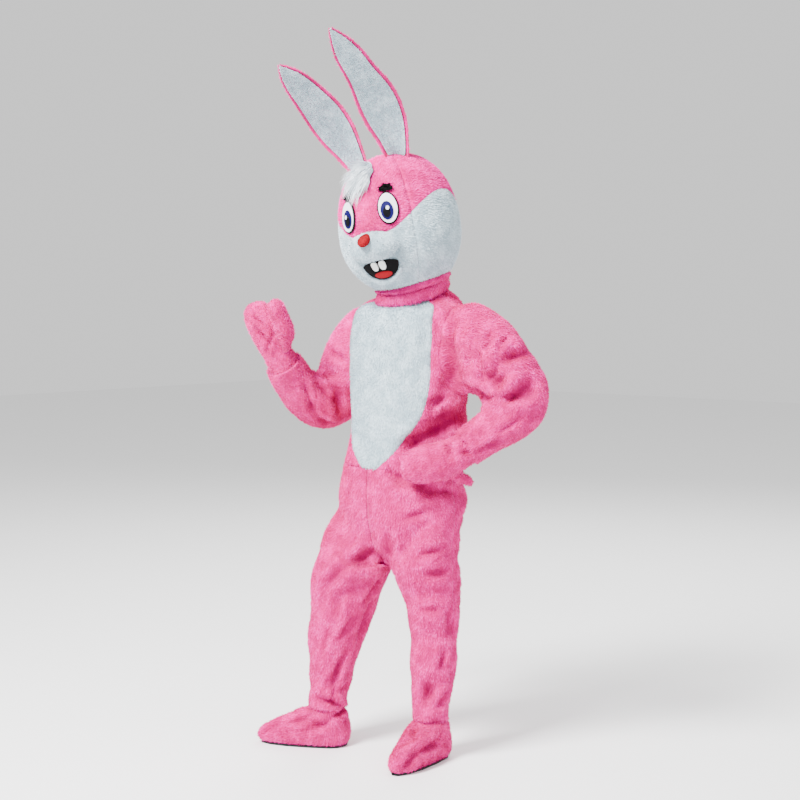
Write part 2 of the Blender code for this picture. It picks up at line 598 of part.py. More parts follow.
def build_body():
    grid, around = body_grid()
    rows = len(BODY)
    along = np.repeat(np.linspace(0, 1, rows)[:, None], BODY_COLUMNS, axis=1)
    length, girth = BODY[-1].height - WAIST_HEIGHT, 1.10
    normals = grid_normals(grid, True)
    settled = np.ones(rows)
    settled[[0, -2, -1]] = 0.0
    creased = folded(grid, normals, BODY_FOLDS, length, girth, along, around)
    grid = grid + (creased - grid) * settled[:, None, None]
    normals = grid_normals(grid, True)
    normals[0, :, 2] = 0.0
    inner = grid - unit(normals) * PLUSH

    cells = {(i, j) for i, j in all_cells(rows - 1, BODY_COLUMNS)}
    for side in (SIDE_COLUMN, BODY_COLUMNS - SIDE_COLUMN):
        cells -= {(i, j) for i in range(ARMHOLE_LOW, ARMHOLE_HIGH) for j in range(side - 2, side + 2)}
    spans = {
        "belly": ("white_plush", (range(BELLY_COLUMN), range(BODY_COLUMNS - BELLY_COLUMN, BODY_COLUMNS))),
        "front_left": ("pink_plush", (range(BELLY_COLUMN, SIDE_COLUMN),)),
        "back_left": ("pink_plush", (range(SIDE_COLUMN, BACK_COLUMN),)),
        "back_right": ("pink_plush", (range(BACK_COLUMN, BODY_COLUMNS - SIDE_COLUMN),)),
        "front_right": ("pink_plush", (range(BODY_COLUMNS - SIDE_COLUMN, BODY_COLUMNS - BELLY_COLUMN),)),
    }
    for name, (finish, ranges) in spans.items():
        chosen = sorted(cell for cell in cells if any(cell[1] in span for span in ranges))
        sew(name, grid, inner, chosen, finish, wrap=True)
    return grid, inner


# Trousers

def seat_section(height, share, side):
    """A half section of the seat: share 0 is the middle of the front and 1 the middle of the back."""
    angle = np.pi * share
    depth = np.where(share < 0.5, column_at(SEAT, "front", height), column_at(SEAT, "rear", height))
    fade = np.sin(angle)
    x = side * column_at(SEAT, "half_width", height) * np.sin(angle) ** 0.92
    x = x + column_at(SEAT, "left", height) * fade
    y = -depth * np.cos(angle) + column_at(SEAT, "back", height)
    return np.stack([x, y], axis=-1)


def leg_section(rows, height, share, side):
    """A section of one leg: share 0 and 1 are the inner seam, and it runs by way of the front."""
    turn = math.radians(float(column_at(rows, "turn", height)))
    inward = np.array([-side * math.cos(turn), -side * math.sin(turn) * side])
    forward = np.array([inward[1] * side, -inward[0] * side])
    forward = forward if forward[1] < 0 else -forward
    middle = np.array([float(column_at(rows, "left", height)), float(column_at(rows, "back", height))])
    angle = 2 * np.pi * share
    across = float(column_at(rows, "across", height)) * np.cos(angle)
    along = float(column_at(rows, "along", height)) * np.sin(angle)
    return middle + across[:, None] * inward + along[:, None] * forward


def build_trousers(side_name, side, leg_rows, folds):
    """One half of the trousers, from the waist through the crotch seam to the ankle."""
    share = np.linspace(0, 1, LEG_COLUMNS + 1)
    share[0], share[-1] = 0.0, 1.0
    to_seam = np.abs(np.cos(np.pi * share)) ** 1.4
    at_crotch = leg_section(leg_rows, CROTCH_HEIGHT, share, side)
    at_crotch += (np.array([0.0, CROTCH_BACK]) - at_crotch[0]) * (to_seam ** 3)[:, None]
    rows, heights = [], []
    for height in SEAT_ROWS_ABOVE:
        rows.append(seat_section(height, share, side))
        heights.append(np.full(len(share), height))
    top = SEAT_ROWS_ABOVE[-1]
    for step in range(1, SEAT_ROWS_TO_CROTCH + 1):
        swing = step / SEAT_ROWS_TO_CROTCH * np.pi / 2
        seam_height = top - (top - CROTCH_HEIGHT) * math.sin(swing)
        outer_height = top - (top - CROTCH_HEIGHT - OUTER_RISE) * step / SEAT_ROWS_TO_CROTCH
        height = outer_height + (seam_height - outer_height) * to_seam
        eased = ease(step / SEAT_ROWS_TO_CROTCH)
        blend = ((1 - math.cos(swing)) * to_seam + eased * (1 - to_seam))[:, None]
        seat = seat_section(height, share, side)
        rows.append(seat * (1 - blend) + at_crotch * blend)
        heights.append(height)
    last = LEG_ROWS_BELOW[-1]
    for height in LEG_ROWS_BELOW:
        rise = OUTER_RISE * ease((height - last - 0.1) / (CROTCH_HEIGHT - last - 0.1))
        rows.append(leg_section(leg_rows, height, share, side))
        heights.append(height + rise * (1 - to_seam))
    grid = np.concatenate([np.array(rows), np.array(heights)[..., None]], axis=-1)
    crotch = len(SEAT_ROWS_ABOVE) + SEAT_ROWS_TO_CROTCH - 1
    grid[:crotch + 1, [0, -1], 0] = 0.0

    def outward(points):
        normals = grid_normals(points, False)
        closed = grid_normals(points[crotch:, :-1], True)
        normals[crotch:, :-1], normals[crotch:, -1] = closed, closed[:, 0]
        if np.sum(normals[:crotch, LEG_SIDE_COLUMN, 0]) * side < 0:
            normals[:crotch] *= -1
        normals[:crotch + 1, [0, -1], 0] = 0.0
        normals[crotch, [0, -1]] = (0.0, 0.0, -1.0)
        normals[0, :, 2] = 0.0
        normals[-2:, :, 2] = 0.0
        return unit(normals)

    along = (WAIST_HEIGHT - grid[..., 2]) / (WAIST_HEIGHT - last)
    around = np.repeat(share[None, :], len(grid), axis=0)
    normals = outward(grid)
    creased = folded(grid, normals, folds, WAIST_HEIGHT - last, 0.55, along, around)
    settled = np.ones(grid.shape[:2])
    settled[0] = settled[-2:] = 0.0
    settled[:crotch + 1, [0, -1]] = 0.0
    grid = grid + (creased - grid) * settled[..., None]
    grid[crotch:, -1] = grid[crotch:, 0]
    inner = grid - outward(grid) * PLUSH
    inner[crotch:, -1] = inner[crotch:, 0]
    for part, columns in (("front", range(LEG_SIDE_COLUMN)), ("back", range(LEG_SIDE_COLUMN, LEG_COLUMNS))):
        cells = [(i, j) for i in range(len(grid) - 1) for j in columns]
        sew(f"trouser_{part}_{side_name}", grid, inner, cells, "pink_plush")
    return grid[-1, :-1], inner[-1, :-1]


# Feet

def build_foot(side_name, side, leg_rows, toes_out):
    """A plush foot that starts inside the trouser hem and ends on its sole."""
    hem = leg_rows[-1]
    share = np.arange(LEG_COLUMNS) / LEG_COLUMNS
    angle = 2 * np.pi * share
    toe_turn = math.radians(toes_out)
    forward = np.array([side * math.sin(toe_turn), -math.cos(toe_turn)])
    sideways = np.array([-forward[1], forward[0]])
    inward = np.array([-side, 0.0])
    start = math.atan2(inward @ sideways, inward @ forward)
    middle = np.array([hem.left, hem.back])
    onward = -math.sin(start) * forward + math.cos(start) * sideways
    towards = 1.0 if np.array([0.0, -1.0]) @ onward > 0 else -1.0
    spin = start + towards * angle
    rows = []
    for row in FOOT:
        reach = np.where(np.cos(spin) > 0, row.toe, row.heel)
        squared = np.sign(np.cos(spin)) * np.abs(np.cos(spin)) ** 0.86
        breadth = row.half_width * np.sin(spin)
        flat = middle + (reach * squared)[:, None] * forward + breadth[:, None] * sideways
        rows.append(np.column_stack([flat, np.full(LEG_COLUMNS, row.height)]))
    inside_hem = ((hem.height - 0.002, PLUSH + NEST_GAP), (hem.height + ANKLE_OVERLAP, PLUSH + 0.004))
    for height, less in inside_hem:
        drawn_in = [r._replace(across=r.across - less, along=r.along - less, turn=0.0) for r in leg_rows]
        ankle = leg_section(drawn_in, hem.height, share, side)
        rows.append(np.column_stack([ankle, np.full(LEG_COLUMNS, height)]))
    grid = np.array(rows)
    normals = grid_normals(grid, True)
    normals[-2:, :, 2] = 0.0
    normals[0, :, 2] = 0.0
    inner = grid - unit(normals) * PLUSH
    sew(f"foot_{side_name}", grid, inner, all_cells(len(rows) - 1, LEG_COLUMNS), "pink_plush", wrap=True)
    outline = grid[0, :, :2]
    count = len(outline)
    points = [(*p, 0.0) for p in outline] + [(*p, SOLE_THICKNESS) for p in outline]
    area = np.sum(outline[:, 0] * np.roll(outline[:, 1], -1) - np.roll(outline[:, 0], -1) * outline[:, 1])
    order = list(range(count)) if area > 0 else list(range(count))[::-1]
    faces = [order[::-1], [n + count for n in order]]
    faces += [[order[n - 1], order[n], order[n] + count, order[n - 1] + count] for n in range(count)]
    place(f"sole_{side_name}", points, faces, "sole_rubber")


# Sleeves and mitts

def ring_points(middle, up, across, radius_up, radius_across, angle, twist=0.0):
    """Points round an ellipse whose axes are turned by twist, at the given angles from up."""
    turned = angle - twist
    radius = radius_up * radius_across / np.sqrt(
        (radius_across * np.cos(turned)) ** 2 + (radius_up * np.sin(turned)) ** 2 + 1e-12)
    return middle + (radius * np.cos(angle))[:, None] * up + (radius * np.sin(angle))[:, None] * across


def resampled(rows, count):
    """A table's rows read evenly along the path that its places draw."""
    table = np.array([tuple(row) for row in rows], float)
    steps = np.linalg.norm(np.diff(table[:, :3], axis=0), axis=1)
    travelled = np.concatenate([[0.0], np.cumsum(steps)])
    at = np.linspace(0.0, travelled[-1], count)
    return np.stack([smooth_at(travelled, table[:, n], at) for n in range(table.shape[1])], axis=-1)


def build_sleeve(side_name, rows, folds, body, body_inner, side_column, fan_rows):
    """A sleeve from the armhole's own edge to the hem, and the frame at its hem."""
    loop = armhole_loop(side_column)
    hole = np.array([body[c] for c in loop])
    hole_inner = np.array([body_inner[c] for c in loop])
    count = len(loop)
    angle = 2 * np.pi * np.arange(count) / count
    table = resampled(rows, SLEEVE_ROWS)
    path = table[:, :3]
    tangents, ups, acrosses = swept_frames(path, np.array([0.0, 0.0, 1.0]))
    underarm = hole[count // 2]
    grid = [hole]
    for n in range(1, SLEEVE_ROWS):
        fanned = 1.0 - ease(n - fan_rows)
        up = unit(ups[n] * (1 - fanned) + unit(path[n] - underarm) * fanned)
        upright = table[n, 3]
        if fanned > 0:
            upright = min(upright, np.linalg.norm(path[n] - underarm) - 0.004 - 0.002 * n)
        ring = ring_points(path[n], up, acrosses[n], upright, table[n, 4], angle)
        blend = ease(n / SLEEVE_EASE_ROWS)
        grid.append(ring * blend + (hole + path[n] - path[0]) * (1 - blend))
    grid = unfolded(np.array(grid), LEAST_RING_GAP)
    length = float(np.sum(np.linalg.norm(np.diff(path, axis=0), axis=1)))
    along = np.repeat(np.linspace(0, 1, SLEEVE_ROWS)[:, None], count, axis=1)
    around = np.repeat((angle / (2 * np.pi))[None, :], SLEEVE_ROWS, axis=0)
    normals = grid_normals(grid, True)
    creased = folded(grid, normals, folds, length, 0.52, along, around)
    row = np.arange(SLEEVE_ROWS)
    settled = ease(row / 2.0) * ease((SLEEVE_ROWS - 1 - row) / 2.0)
    grid = grid + (creased - grid) * settled[:, None, None]
    inner = grid - grid_normals(grid, True) * PLUSH
    inner[0] = hole_inner
    inward = inner[-1] - grid[-1]
    level = unit(inward - np.sum(inward * tangents[-1], axis=1, keepdims=True) * tangents[-1])
    inner[-1] = grid[-1] + level * PLUSH
    sew(f"sleeve_{side_name}", grid, inner, all_cells(SLEEVE_ROWS - 1, count), "pink_plush", wrap=True)
    return {
        "up": ups[-1],
        "across": acrosses[-1],
        "angle": angle,
        "inner": inner[-1],
        "tangent": tangents[-1],
    }


def build_mitt(side_name, rows, hem, palm_axis, thumb_side, thumb_turn, thumb_size):
    """A mitten whose cuff is inside the sleeve's hem, with a thumb that opens into it."""
    table = np.array([tuple(row) for row in rows], float)
    path = table[:, :3]
    tangents, ups, acrosses = swept_frames(path, hem["up"])
    angle = hem["angle"]
    count = len(angle)
    grid = []
    for n in range(len(rows)):
        twist = math.atan2(float(np.dot(palm_axis, acrosses[n])), float(np.dot(palm_axis, ups[n])))
        grid.append(ring_points(path[n], ups[n], acrosses[n], table[n, 3], table[n, 4], angle, twist)
                    if table[n, 3] > 0 else np.repeat(path[n][None], count, axis=0))
    grid = np.array(grid)
    cuff = hem["inner"] + unit(path[1] - hem["inner"]) * NEST_GAP
    grid[1] = cuff
    grid[0] = cuff - hem["tangent"] * 0.024 + unit(path[1] - cuff) * 0.0005
    normals = grid_normals(grid, True)
    normals[-1] = unit(path[-1] - path[-2])
    inner = grid - normals * PLUSH
    low, high = 2, 4
    thumb_column = int(np.argmax(unit(grid[3] - path[3]) @ thumb_side))
    hole = [(i, j % count) for i in range(low, high) for j in range(thumb_column - 1, thumb_column + 1)]
    cells = [cell for cell in all_cells(len(rows) - 1, count) if cell not in hole]
    sew(f"mitt_{side_name}", grid, inner, cells, "pink_plush", wrap=True, pole=True)

    before, after = thumb_column - 1, thumb_column + 1
    loop = [(high, thumb_column), (high, before), (high - 1, before), (low, before),
            (low, thumb_column), (low, after), (high - 1, after), (high, after)]
    if thumb_turn < 0:
        loop = loop[4:] + loop[:4]
    loop = [(i, j % count) for i, j in loop]
    base, base_inner = np.array([grid[c] for c in loop]), np.array([inner[c] for c in loop])
    middle, pivot = base.mean(axis=0), base[0]
    ahead = unit(path[high] - path[low]) * (1.0 if thumb_turn > 0 else -1.0)
    away = np.mean([normals[c] for c in loop], axis=0)
    away = unit(away - ahead * np.dot(away, ahead))
    side = np.cross(ahead, away)
    side = side if np.dot(side, base[2] - middle) > 0 else -side
    thumb_angle = (2 * np.pi * np.arange(len(loop)) / len(loop))[:, None]
    thumb = [base]
    for row in THUMB:
        turn = math.radians(row.turn * abs(thumb_turn))
        outward = math.sin(turn) * away - math.cos(turn) * ahead
        onward = math.sin(turn) * ahead + math.cos(turn) * away
        ring = row.across * np.sin(thumb_angle) * side - row.towards * np.cos(thumb_angle) * outward
        thumb.append(pivot + thumb_size * (row.reach * outward + row.rise * onward + ring))
    thumb = np.array(thumb)
    thumb_normals = grid_normals(thumb, True)
    thumb_normals[-1] = unit(thumb[-1, 0] - thumb[-2].mean(axis=0))
    thumb_inner = thumb - thumb_normals * PLUSH
    thumb_inner[0] = base_inner
    cells = all_cells(len(THUMB), len(loop))
    sew(f"thumb_{side_name}", thumb, thumb_inner, cells, "pink_plush", wrap=True, pole=True)


# Head

def head_point(azimuth, elevation):
    """A point on the head's outside, in its own frame, from degrees round from the front and up."""
    a, e = np.radians(azimuth), np.radians(elevation)
    ray = np.stack([np.sin(a) * np.cos(e), -np.cos(a) * np.cos(e), np.sin(e)], axis=-1)
    height = np.where(ray[..., 2] > 0, HEAD_UP, HEAD_DOWN)
    level = np.hypot(ray[..., 0] / HEAD_HALF_WIDTH, ray[..., 1] / HEAD_HALF_DEPTH)
    fullness = np.where(ray[..., 2] > 0, HEAD_FULLNESS, 2.0)
    reach = (level ** fullness + np.abs(ray[..., 2] / height) ** fullness) ** (-1 / fullness)
    apart = np.hypot(np.abs(np.asarray(azimuth)) - CHEEK_AZIMUTH, np.asarray(elevation) - CHEEK_ELEVATION)
    reach = reach + CHEEK_BULGE * np.exp(-((apart / CHEEK_SPREAD) ** 2))
    return ray * reach[..., None]


def head_normal(azimuth, elevation):
    """The head's outward normal there, from its slope."""
    step = 0.5
    across = head_point(azimuth + step, elevation) - head_point(azimuth - step, elevation)
    up = head_point(azimuth, elevation + step) - head_point(azimuth, elevation - step)
    return unit(np.cross(across, up))


def build_head():
    """The hollow head in panels: brow, two caps, two cheeks and the lower face."""
    half = np.concatenate([
        np.linspace(0, BROW_AZIMUTH, BROW_COLUMN + 1),
        np.linspace(BROW_AZIMUTH, 180.0, NAPE_COLUMN - BROW_COLUMN + 1)[1:],
    ])
    azimuth = np.concatenate([half, -half[1:-1][::-1]])
    border = column_at(BORDER, "elevation", np.abs(azimuth))
    border[BROW_COLUMN] = border[-BROW_COLUMN] = column_at(BORDER, "elevation", BROW_AZIMUTH)
    opening = OPENING_BACK + (OPENING_FRONT - OPENING_BACK) * (1 + np.cos(np.radians(azimuth))) / 2
    rows = []
    for n in range(LOWER_HEAD_ROWS):
        share = n / LOWER_HEAD_ROWS
        rows.append(opening + (border - opening) * share)
    for n in range(UPPER_HEAD_ROWS + 1):
        share = n / UPPER_HEAD_ROWS
        rows.append(border + (90.0 - border) * share)
    elevation = np.array(rows)
    azimuths = np.repeat(azimuth[None, :], len(rows), axis=0)
    local = head_point(azimuths, elevation)
    local[-1] = (0.0, 0.0, HEAD_UP)
    normals = head_normal(azimuths, np.clip(elevation, -89, 89))
    normals[-1] = (0.0, 0.0, 1.0)
    grid = from_head(local)
    inner = from_head(local - normals * HEAD_WALL)
    count = len(azimuth)
    lower = range(LOWER_HEAD_ROWS)
    upper = range(LOWER_HEAD_ROWS, len(rows) - 1)
    front = [j % count for j in range(-BROW_COLUMN, BROW_COLUMN)]
    left_side, right_side = range(BROW_COLUMN, NAPE_COLUMN), range(NAPE_COLUMN, count - BROW_COLUMN)
    left_cheek = range(BROW_COLUMN, CHEEK_REAR_COLUMN)
    right_cheek = range(count - CHEEK_REAR_COLUMN, count - BROW_COLUMN)
    panels = {
        "lower_face": ("white_plush", [(i, j) for i in lower for j in front]),
        "cheek_left": ("white_plush", [(i, j) for i in lower for j in left_cheek]),
        "cheek_right": ("white_plush", [(i, j) for i in lower for j in right_cheek]),
        "brow": ("pink_plush", [(i, j) for i in upper for j in front]),
        "cap_left": ("pink_plush", [(i, j) for i in upper for j in left_side]
                     + [(i, j) for i in lower for j in range(CHEEK_REAR_COLUMN, NAPE_COLUMN)]),
        "cap_right": ("pink_plush", [(i, j) for i in upper for j in right_side]
                      + [(i, j) for i in lower for j in range(NAPE_COLUMN, count - CHEEK_REAR_COLUMN)]),
    }
    for name, (finish, cells) in panels.items():
        sew(name, grid, inner, sorted(cells), finish, wrap=True, pole=True)
    return grid[0], inner[0]


def build_neck_band(head_ring, head_ring_inner, body, body_inner):
    """The head's neck skirt, in two bands, from the head's opening down round the suit's neckline."""
    stand, base = body[-1], body[-2]
    level = unit(np.column_stack([(body[-1] - body_inner[-1])[:, :2], np.zeros(BODY_COLUMNS)]))
    low = base + level * (NEST_GAP * 0.5) + np.array([0.0, 0.0, 0.0003])
    high = stand + level * NEST_GAP + np.array([0.0, 0.0, 0.002])
    seam_out = (high + level * PLUSH) * 0.5 + head_ring * 0.5 + level * NECK_ROLL * 0.5
    seam_in = seam_out - level * PLUSH
    roll = ((low + seam_out) * 0.5) + level * (PLUSH * 0.5 + NECK_ROLL)
    outer = np.array([low + level * PLUSH, roll, seam_out])
    inner = np.array([low, roll - level * PLUSH, seam_in])
    sew("neck_band_lower", outer, inner, all_cells(2, BODY_COLUMNS), "pink_plush", wrap=True)
    roll = (seam_out + head_ring) * 0.5 + level * NECK_ROLL
    outer = np.array([seam_out, roll, head_ring])
    inner = np.array([seam_in, roll - level * PLUSH, head_ring_inner])
    sew("neck_band_upper", outer, inner, all_cells(2, BODY_COLUMNS), "pink_plush", wrap=True)


# Face

def on_head(piece, x, y, side=1.0):
    """The head's point and normal at a place measured in metres from a face piece's middle."""
    e0 = math.radians(piece.elevation)
    radius = float(np.linalg.norm(head_point(np.array(piece.azimuth), np.array(piece.elevation))))
    azimuth = side * piece.azimuth + np.degrees(x / (radius * math.cos(e0)))
    elevation = piece.elevation + np.degrees(y / radius)
    return head_point(azimuth, elevation), head_normal(azimuth, elevation)


def patch(
    name, piece, finish, side=1.0, sectors=18, profile=((0.55, 1.0), (1.0, 1.0)), outline=None, base=on_head
):
    """A closed solid that lies on the head: rings out from its middle, with heights from its profile."""
    angle = 2 * np.pi * np.arange(sectors) / sectors
    shape = np.ones(sectors) if outline is None else outline(angle)
    rise = np.where(np.sin(angle) > 0, piece.up, piece.down)
    x_edge, y_edge = piece.half_width * np.cos(angle) * shape, rise * np.sin(angle) * shape
    points, faces = [], []
    rings = [(share, 0.0) for share, _ in profile] + [(share, height) for share, height in profile[::-1]]
    middle, middle_normal = base(piece, np.zeros(1), np.zeros(1), side)
    points.append((middle + middle_normal * piece.lift)[0])
    for share, height in rings:
        spot, normal = base(piece, x_edge * share, y_edge * share, side)
        points += list(spot + normal * (piece.lift + piece.thickness * height))
    points.append((middle + middle_normal * (piece.lift + piece.thickness * profile[0][1]))[0])
    last = len(points) - 1
    for n in range(sectors):
        m = (n + 1) % sectors
        faces.append([0, 1 + m, 1 + n])
        for ring in range(len(rings) - 1):
            a, b = 1 + ring * sectors, 1 + (ring + 1) * sectors
            faces.append([a + n, a + m, b + m, b + n])
        a = 1 + (len(rings) - 1) * sectors
        faces.append([a + n, a + m, last])
    return place(name, from_head(np.array(points)), faces, finish)


def muzzle_height(x, y):
    """How far the puffed muzzle stands off the head: two round pads with a soft dip between them."""
    r2 = (x / MUZZLE.half_width) ** 2 + (y / MUZZLE.up) ** 2
    dome = np.clip(1.0 - r2, 0.0, None) ** 0.55
    dip = 1.0 - 0.14 * np.exp(-((x / 0.010) ** 2)) * (1.0 - ease((y + 0.012) / 0.024))
    return MUZZLE.thickness * dome * dip


def on_muzzle(piece, x, y, side=1.0):
    """The muzzle's own front, for what is sewn onto it."""
    radius = float(np.linalg.norm(head_point(np.array(MUZZLE.azimuth), np.array(MUZZLE.elevation))))
    lower = np.radians(piece.elevation - MUZZLE.elevation) * radius
    spot, normal = on_head(MUZZLE, x, y + lower, side)
    height = muzzle_height(x, y + lower) + MUZZLE.lift
    return spot + normal * height[..., None], normal


def build_muzzle():
    """The puffed muzzle; it is widest clear of the head, so that it stands out over the mouth."""
    sectors = 26
    angle = 2 * np.pi * np.arange(sectors) / sectors
    lobes = 1.0 - 0.16 * np.exp(-(((angle - 1.5 * np.pi) / 0.26) ** 2))
    x_edge, y_edge = MUZZLE.half_width * np.cos(angle) * lobes, MUZZLE.up * np.sin(angle) * lobes
    middle, normal = on_head(MUZZLE, np.zeros(1), np.zeros(1))
    points = [(middle + normal * MUZZLE.lift)[0]]
    rings = ((0.30, None, 0.0), (0.60, None, 0.0), (0.88, None, 0.0), (1.0, 0.011, 0.0),
             (0.93, None, 1.0), (0.80, None, 1.0), (0.60, None, 1.0), (0.35, None, 1.0))
    for share, fixed, on_dome in rings:
        x, y = x_edge * share, y_edge * share
        spot, normal = on_head(MUZZLE, x, y)
        height = np.full(sectors, fixed or 0.0) if not on_dome else muzzle_height(x, y)
        points += list(spot + normal * (MUZZLE.lift + height)[:, None])
    top = muzzle_height(np.zeros(1), np.zeros(1))
    points.append((middle + on_head(MUZZLE, np.zeros(1), np.zeros(1))[1] * (MUZZLE.lift + top)[:, None])[0])
    faces = []
    for n in range(sectors):
        m = (n + 1) % sectors
        faces.append([0, 1 + m, 1 + n])
        for ring in range(len(rings) - 1):
            a, b = 1 + ring * sectors, 1 + (ring + 1) * sectors
            faces.append([a + n, a + m, b + m, b + n])
        a = 1 + (len(rings) - 1) * sectors
        faces.append([a + n, a + m, len(points) - 1])
    place("muzzle", from_head(np.array(points)), faces, "white_plush")


def build_lip():
    """The lower lip, a stuffed roll along the mouth's lower edge."""
    steps, sides = 13, 8
    turn = np.linspace(math.radians(202), math.radians(338), steps)
    x = (MOUTH.half_width + 0.0075) * np.cos(turn)
    y = (MOUTH.down + 0.0075) * np.sin(turn)
    spot, normal = on_head(MOUTH, x, y)
    radius = 0.0042 + 0.0036 * np.sin(np.linspace(0, np.pi, steps))
    path = spot + normal * (radius + LIFT)[:, None]
    tangents = unit(np.gradient(path, axis=0))
    across = unit(np.cross(tangents, normal))
    angle = 2 * np.pi * np.arange(sides) / sides
    points = []
    for n in range(steps):
        ring = normal[n] * np.cos(angle)[:, None] + across[n] * np.sin(angle)[:, None]
        points += list(path[n] + ring * radius[n])
    faces = [list(range(sides)), [(steps - 1) * sides + n for n in range(sides)][::-1]]
    for ring in range(steps - 1):
        for n in range(sides):
            m = (n + 1) % sides
            near, far = ring * sides, (ring + 1) * sides
            faces.append([near + m, near + n, far + n, far + m])
    place("lower_lip", from_head(np.array(points)), faces, "white_plush")


def build_face():
    """Eyes, lashes, muzzle, nose, mouth and teeth: a plain rabbit's face."""
    for side_name, side in (("left", 1.0), ("right", -1.0)):
        for layer, finish in (("rim", "black_felt"), ("white", "white_vinyl"), ("iris", "blue_vinyl"),
                              ("pupil", "black_vinyl"), ("glint", "white_vinyl")):
            sectors = 20 if layer in ("rim", "white") else 14
            profile = ((0.6, 1.0), (1.0, 1.0)) if layer in ("rim", "white", "iris") else ((1.0, 1.0),)
            patch(f"eye_{layer}_{side_name}", EYE[layer], finish, side, sectors, profile)
        patch(f"lash_{side_name}", LASH, "black_felt", side, 14, ((0.55, 1.0), (1.0, 0.6)),
              outline=lambda a: np.where(np.sin(a) > 0.1, 1.0 + 0.14 * np.cos(7 * a), 1.0))
        patch(f"tooth_{side_name}", TOOTH, "tooth_foam", side, 12, ((1.0, 1.0),),
              outline=lambda a: 1.0 / np.maximum(np.abs(np.cos(a)), np.abs(np.sin(a))) ** 0.6)
    build_muzzle()
    round_end = ((0.35, 1.0), (0.72, 0.82), (0.94, 0.50), (1.0, 0.22))
    patch("nose", NOSE, "red_flock", 1.0, 14, round_end, base=on_muzzle)
    patch("mouth", MOUTH, "black_felt", 1.0, 22, ((0.36, 1.0), (0.7, 1.0), (1.0, 1.0)))
    patch("tongue", TONGUE, "red_felt", 1.0, 14, ((0.6, 1.0), (1.0, 0.5)))
    build_lip()
    patch("forelock", FORELOCK, "white_shag", 1.0, 30, ((0.35, 1.0), (0.7, 0.85), (1.0, 0.3)),
          outline=lambda a: np.where(np.sin(a) < 0.2, 1.0 + 0.10 * np.cos(10 * a), 1.0))


# Ears

def from_surface(points):
    """How far points of the head's frame are outside its surface, along the ray from its middle."""
    reach = np.linalg.norm(points, axis=-1)
    azimuth = np.degrees(np.arctan2(points[..., 0], -points[..., 1]))
    elevation = np.degrees(np.arcsin(points[..., 2] / reach))
    return reach - np.linalg.norm(head_point(azimuth, elevation), axis=-1)


def seated(layers):
    """An ear's layers, each column cut off where it meets the head and its rows spread over the rest."""
    rows, columns = layers[0].shape[:2]
    fine = np.linspace(0, rows - 1, 40 * rows)
    start = np.zeros(columns)
    for grid in layers:
        for j in range(columns):
            column = np.stack([np.interp(fine, np.arange(rows), grid[:, j, k]) for k in range(3)], axis=-1)
            start[j] = max(start[j], fine[np.argmax(from_surface(column) > -EAR_SINK)])
    at = start + (rows - 1 - start) * np.linspace(0, 1, rows)[:, None]
    below = np.clip(at.astype(int), 0, rows - 2)
    share = (at - below)[..., None]
    column = np.arange(columns)[None, :]
    return [grid[below, column] * (1 - share) + grid[below + 1, column] * share for grid in layers]


def build_ear(side_name, rows):
    """A long cupped ear in two layers: the pink back, with its edges turned over, and the white front."""
    at = np.linspace(0, 1, EAR_ROWS)
    read = {name: column_at(rows, name, at) for name in EarRow._fields[1:]}
    spine = np.column_stack([read["left"], -read["forward"], read["up"]])
    tangents = unit(np.gradient(spine, axis=0))
    face = np.radians(read["facing"])
    look = np.column_stack([np.sin(face), -np.cos(face), np.zeros(EAR_ROWS)])
    across = unit(np.cross(tangents, look))
    front = unit(np.cross(across, tangents))
    v = np.concatenate([[-1.0], np.linspace(-EAR_MARGIN, EAR_MARGIN, EAR_COLUMNS + 1), [1.0]])
    width = read["half_width"][:, None] * v[None, :]
    curl = read["curl"][:, None] * v[None, :] ** 2
    back = spine[:, None] + across[:, None] * width[..., None] + front[:, None] * curl[..., None]
    normals = grid_normals(back, False)
    if np.sum(normals * front[:, None]) < 0:
        normals = -normals
    depths = (0.0, EAR_OUTER_WALL, EAR_OUTER_WALL + 0.0004, EAR_OUTER_WALL + 0.0004 + EAR_INNER_WALL)
    layers = seated([back + normals * depth for depth in depths])
    cells = all_cells(EAR_ROWS - 1, EAR_COLUMNS + 2)
    sew(f"ear_back_{side_name}", from_head(layers[1]), from_head(layers[0]), cells, "pink_plush")
    cells = [(i, j) for i, j in cells if 0 < j < EAR_COLUMNS + 1]
    sew(f"ear_front_{side_name}", from_head(layers[3]), from_head(layers[2]), cells, "white_plush")


def main():
    for found in list(bpy.data.objects):
        bpy.data.objects.remove(found)
    body, body_inner = build_body()
    for side_name, side, leg, folds, toes in (
        ("left", 1.0, LEFT_LEG, LEFT_LEG_FOLDS, LEFT_TOES_OUT),
        ("right", -1.0, RIGHT_LEG, RIGHT_LEG_FOLDS, RIGHT_TOES_OUT),
    ):
        build_trousers(side_name, side, leg, folds)
        build_foot(side_name, side, leg, toes)
    left_hem = build_sleeve("left", LEFT_SLEEVE, LEFT_SLEEVE_FOLDS, body, body_inner, SIDE_COLUMN, 2)
    right_hem = build_sleeve(
        "right", RIGHT_SLEEVE, RIGHT_SLEEVE_FOLDS, body, body_inner, BODY_COLUMNS - SIDE_COLUMN, 3)
    build_mitt("left", LEFT_MITT, left_hem, unit([0.2, 0.2, 1.0]), unit([0.0, 0.35, -0.9]), -0.55, 0.58)
    build_mitt("right", RIGHT_MITT, right_hem, unit([1.0, 0.2, 0.1]), unit([0.98, 0.1, 0.0]), 1.0, 1.0)
    head_ring, head_ring_inner = build_head()
    build_neck_band(head_ring, head_ring_inner, body, body_inner)
    build_face()
    build_ear("left", LEFT_EAR)
    build_ear("right", RIGHT_EAR)


main()
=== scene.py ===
"""Looks of the plush rabbit costume: its cloth, pile, seams, face trim and stage."""

import json
import math
from collections import namedtuple

import bmesh
import bpy
import numpy as np
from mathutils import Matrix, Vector, noise
from mathutils.bvhtree import BVHTree

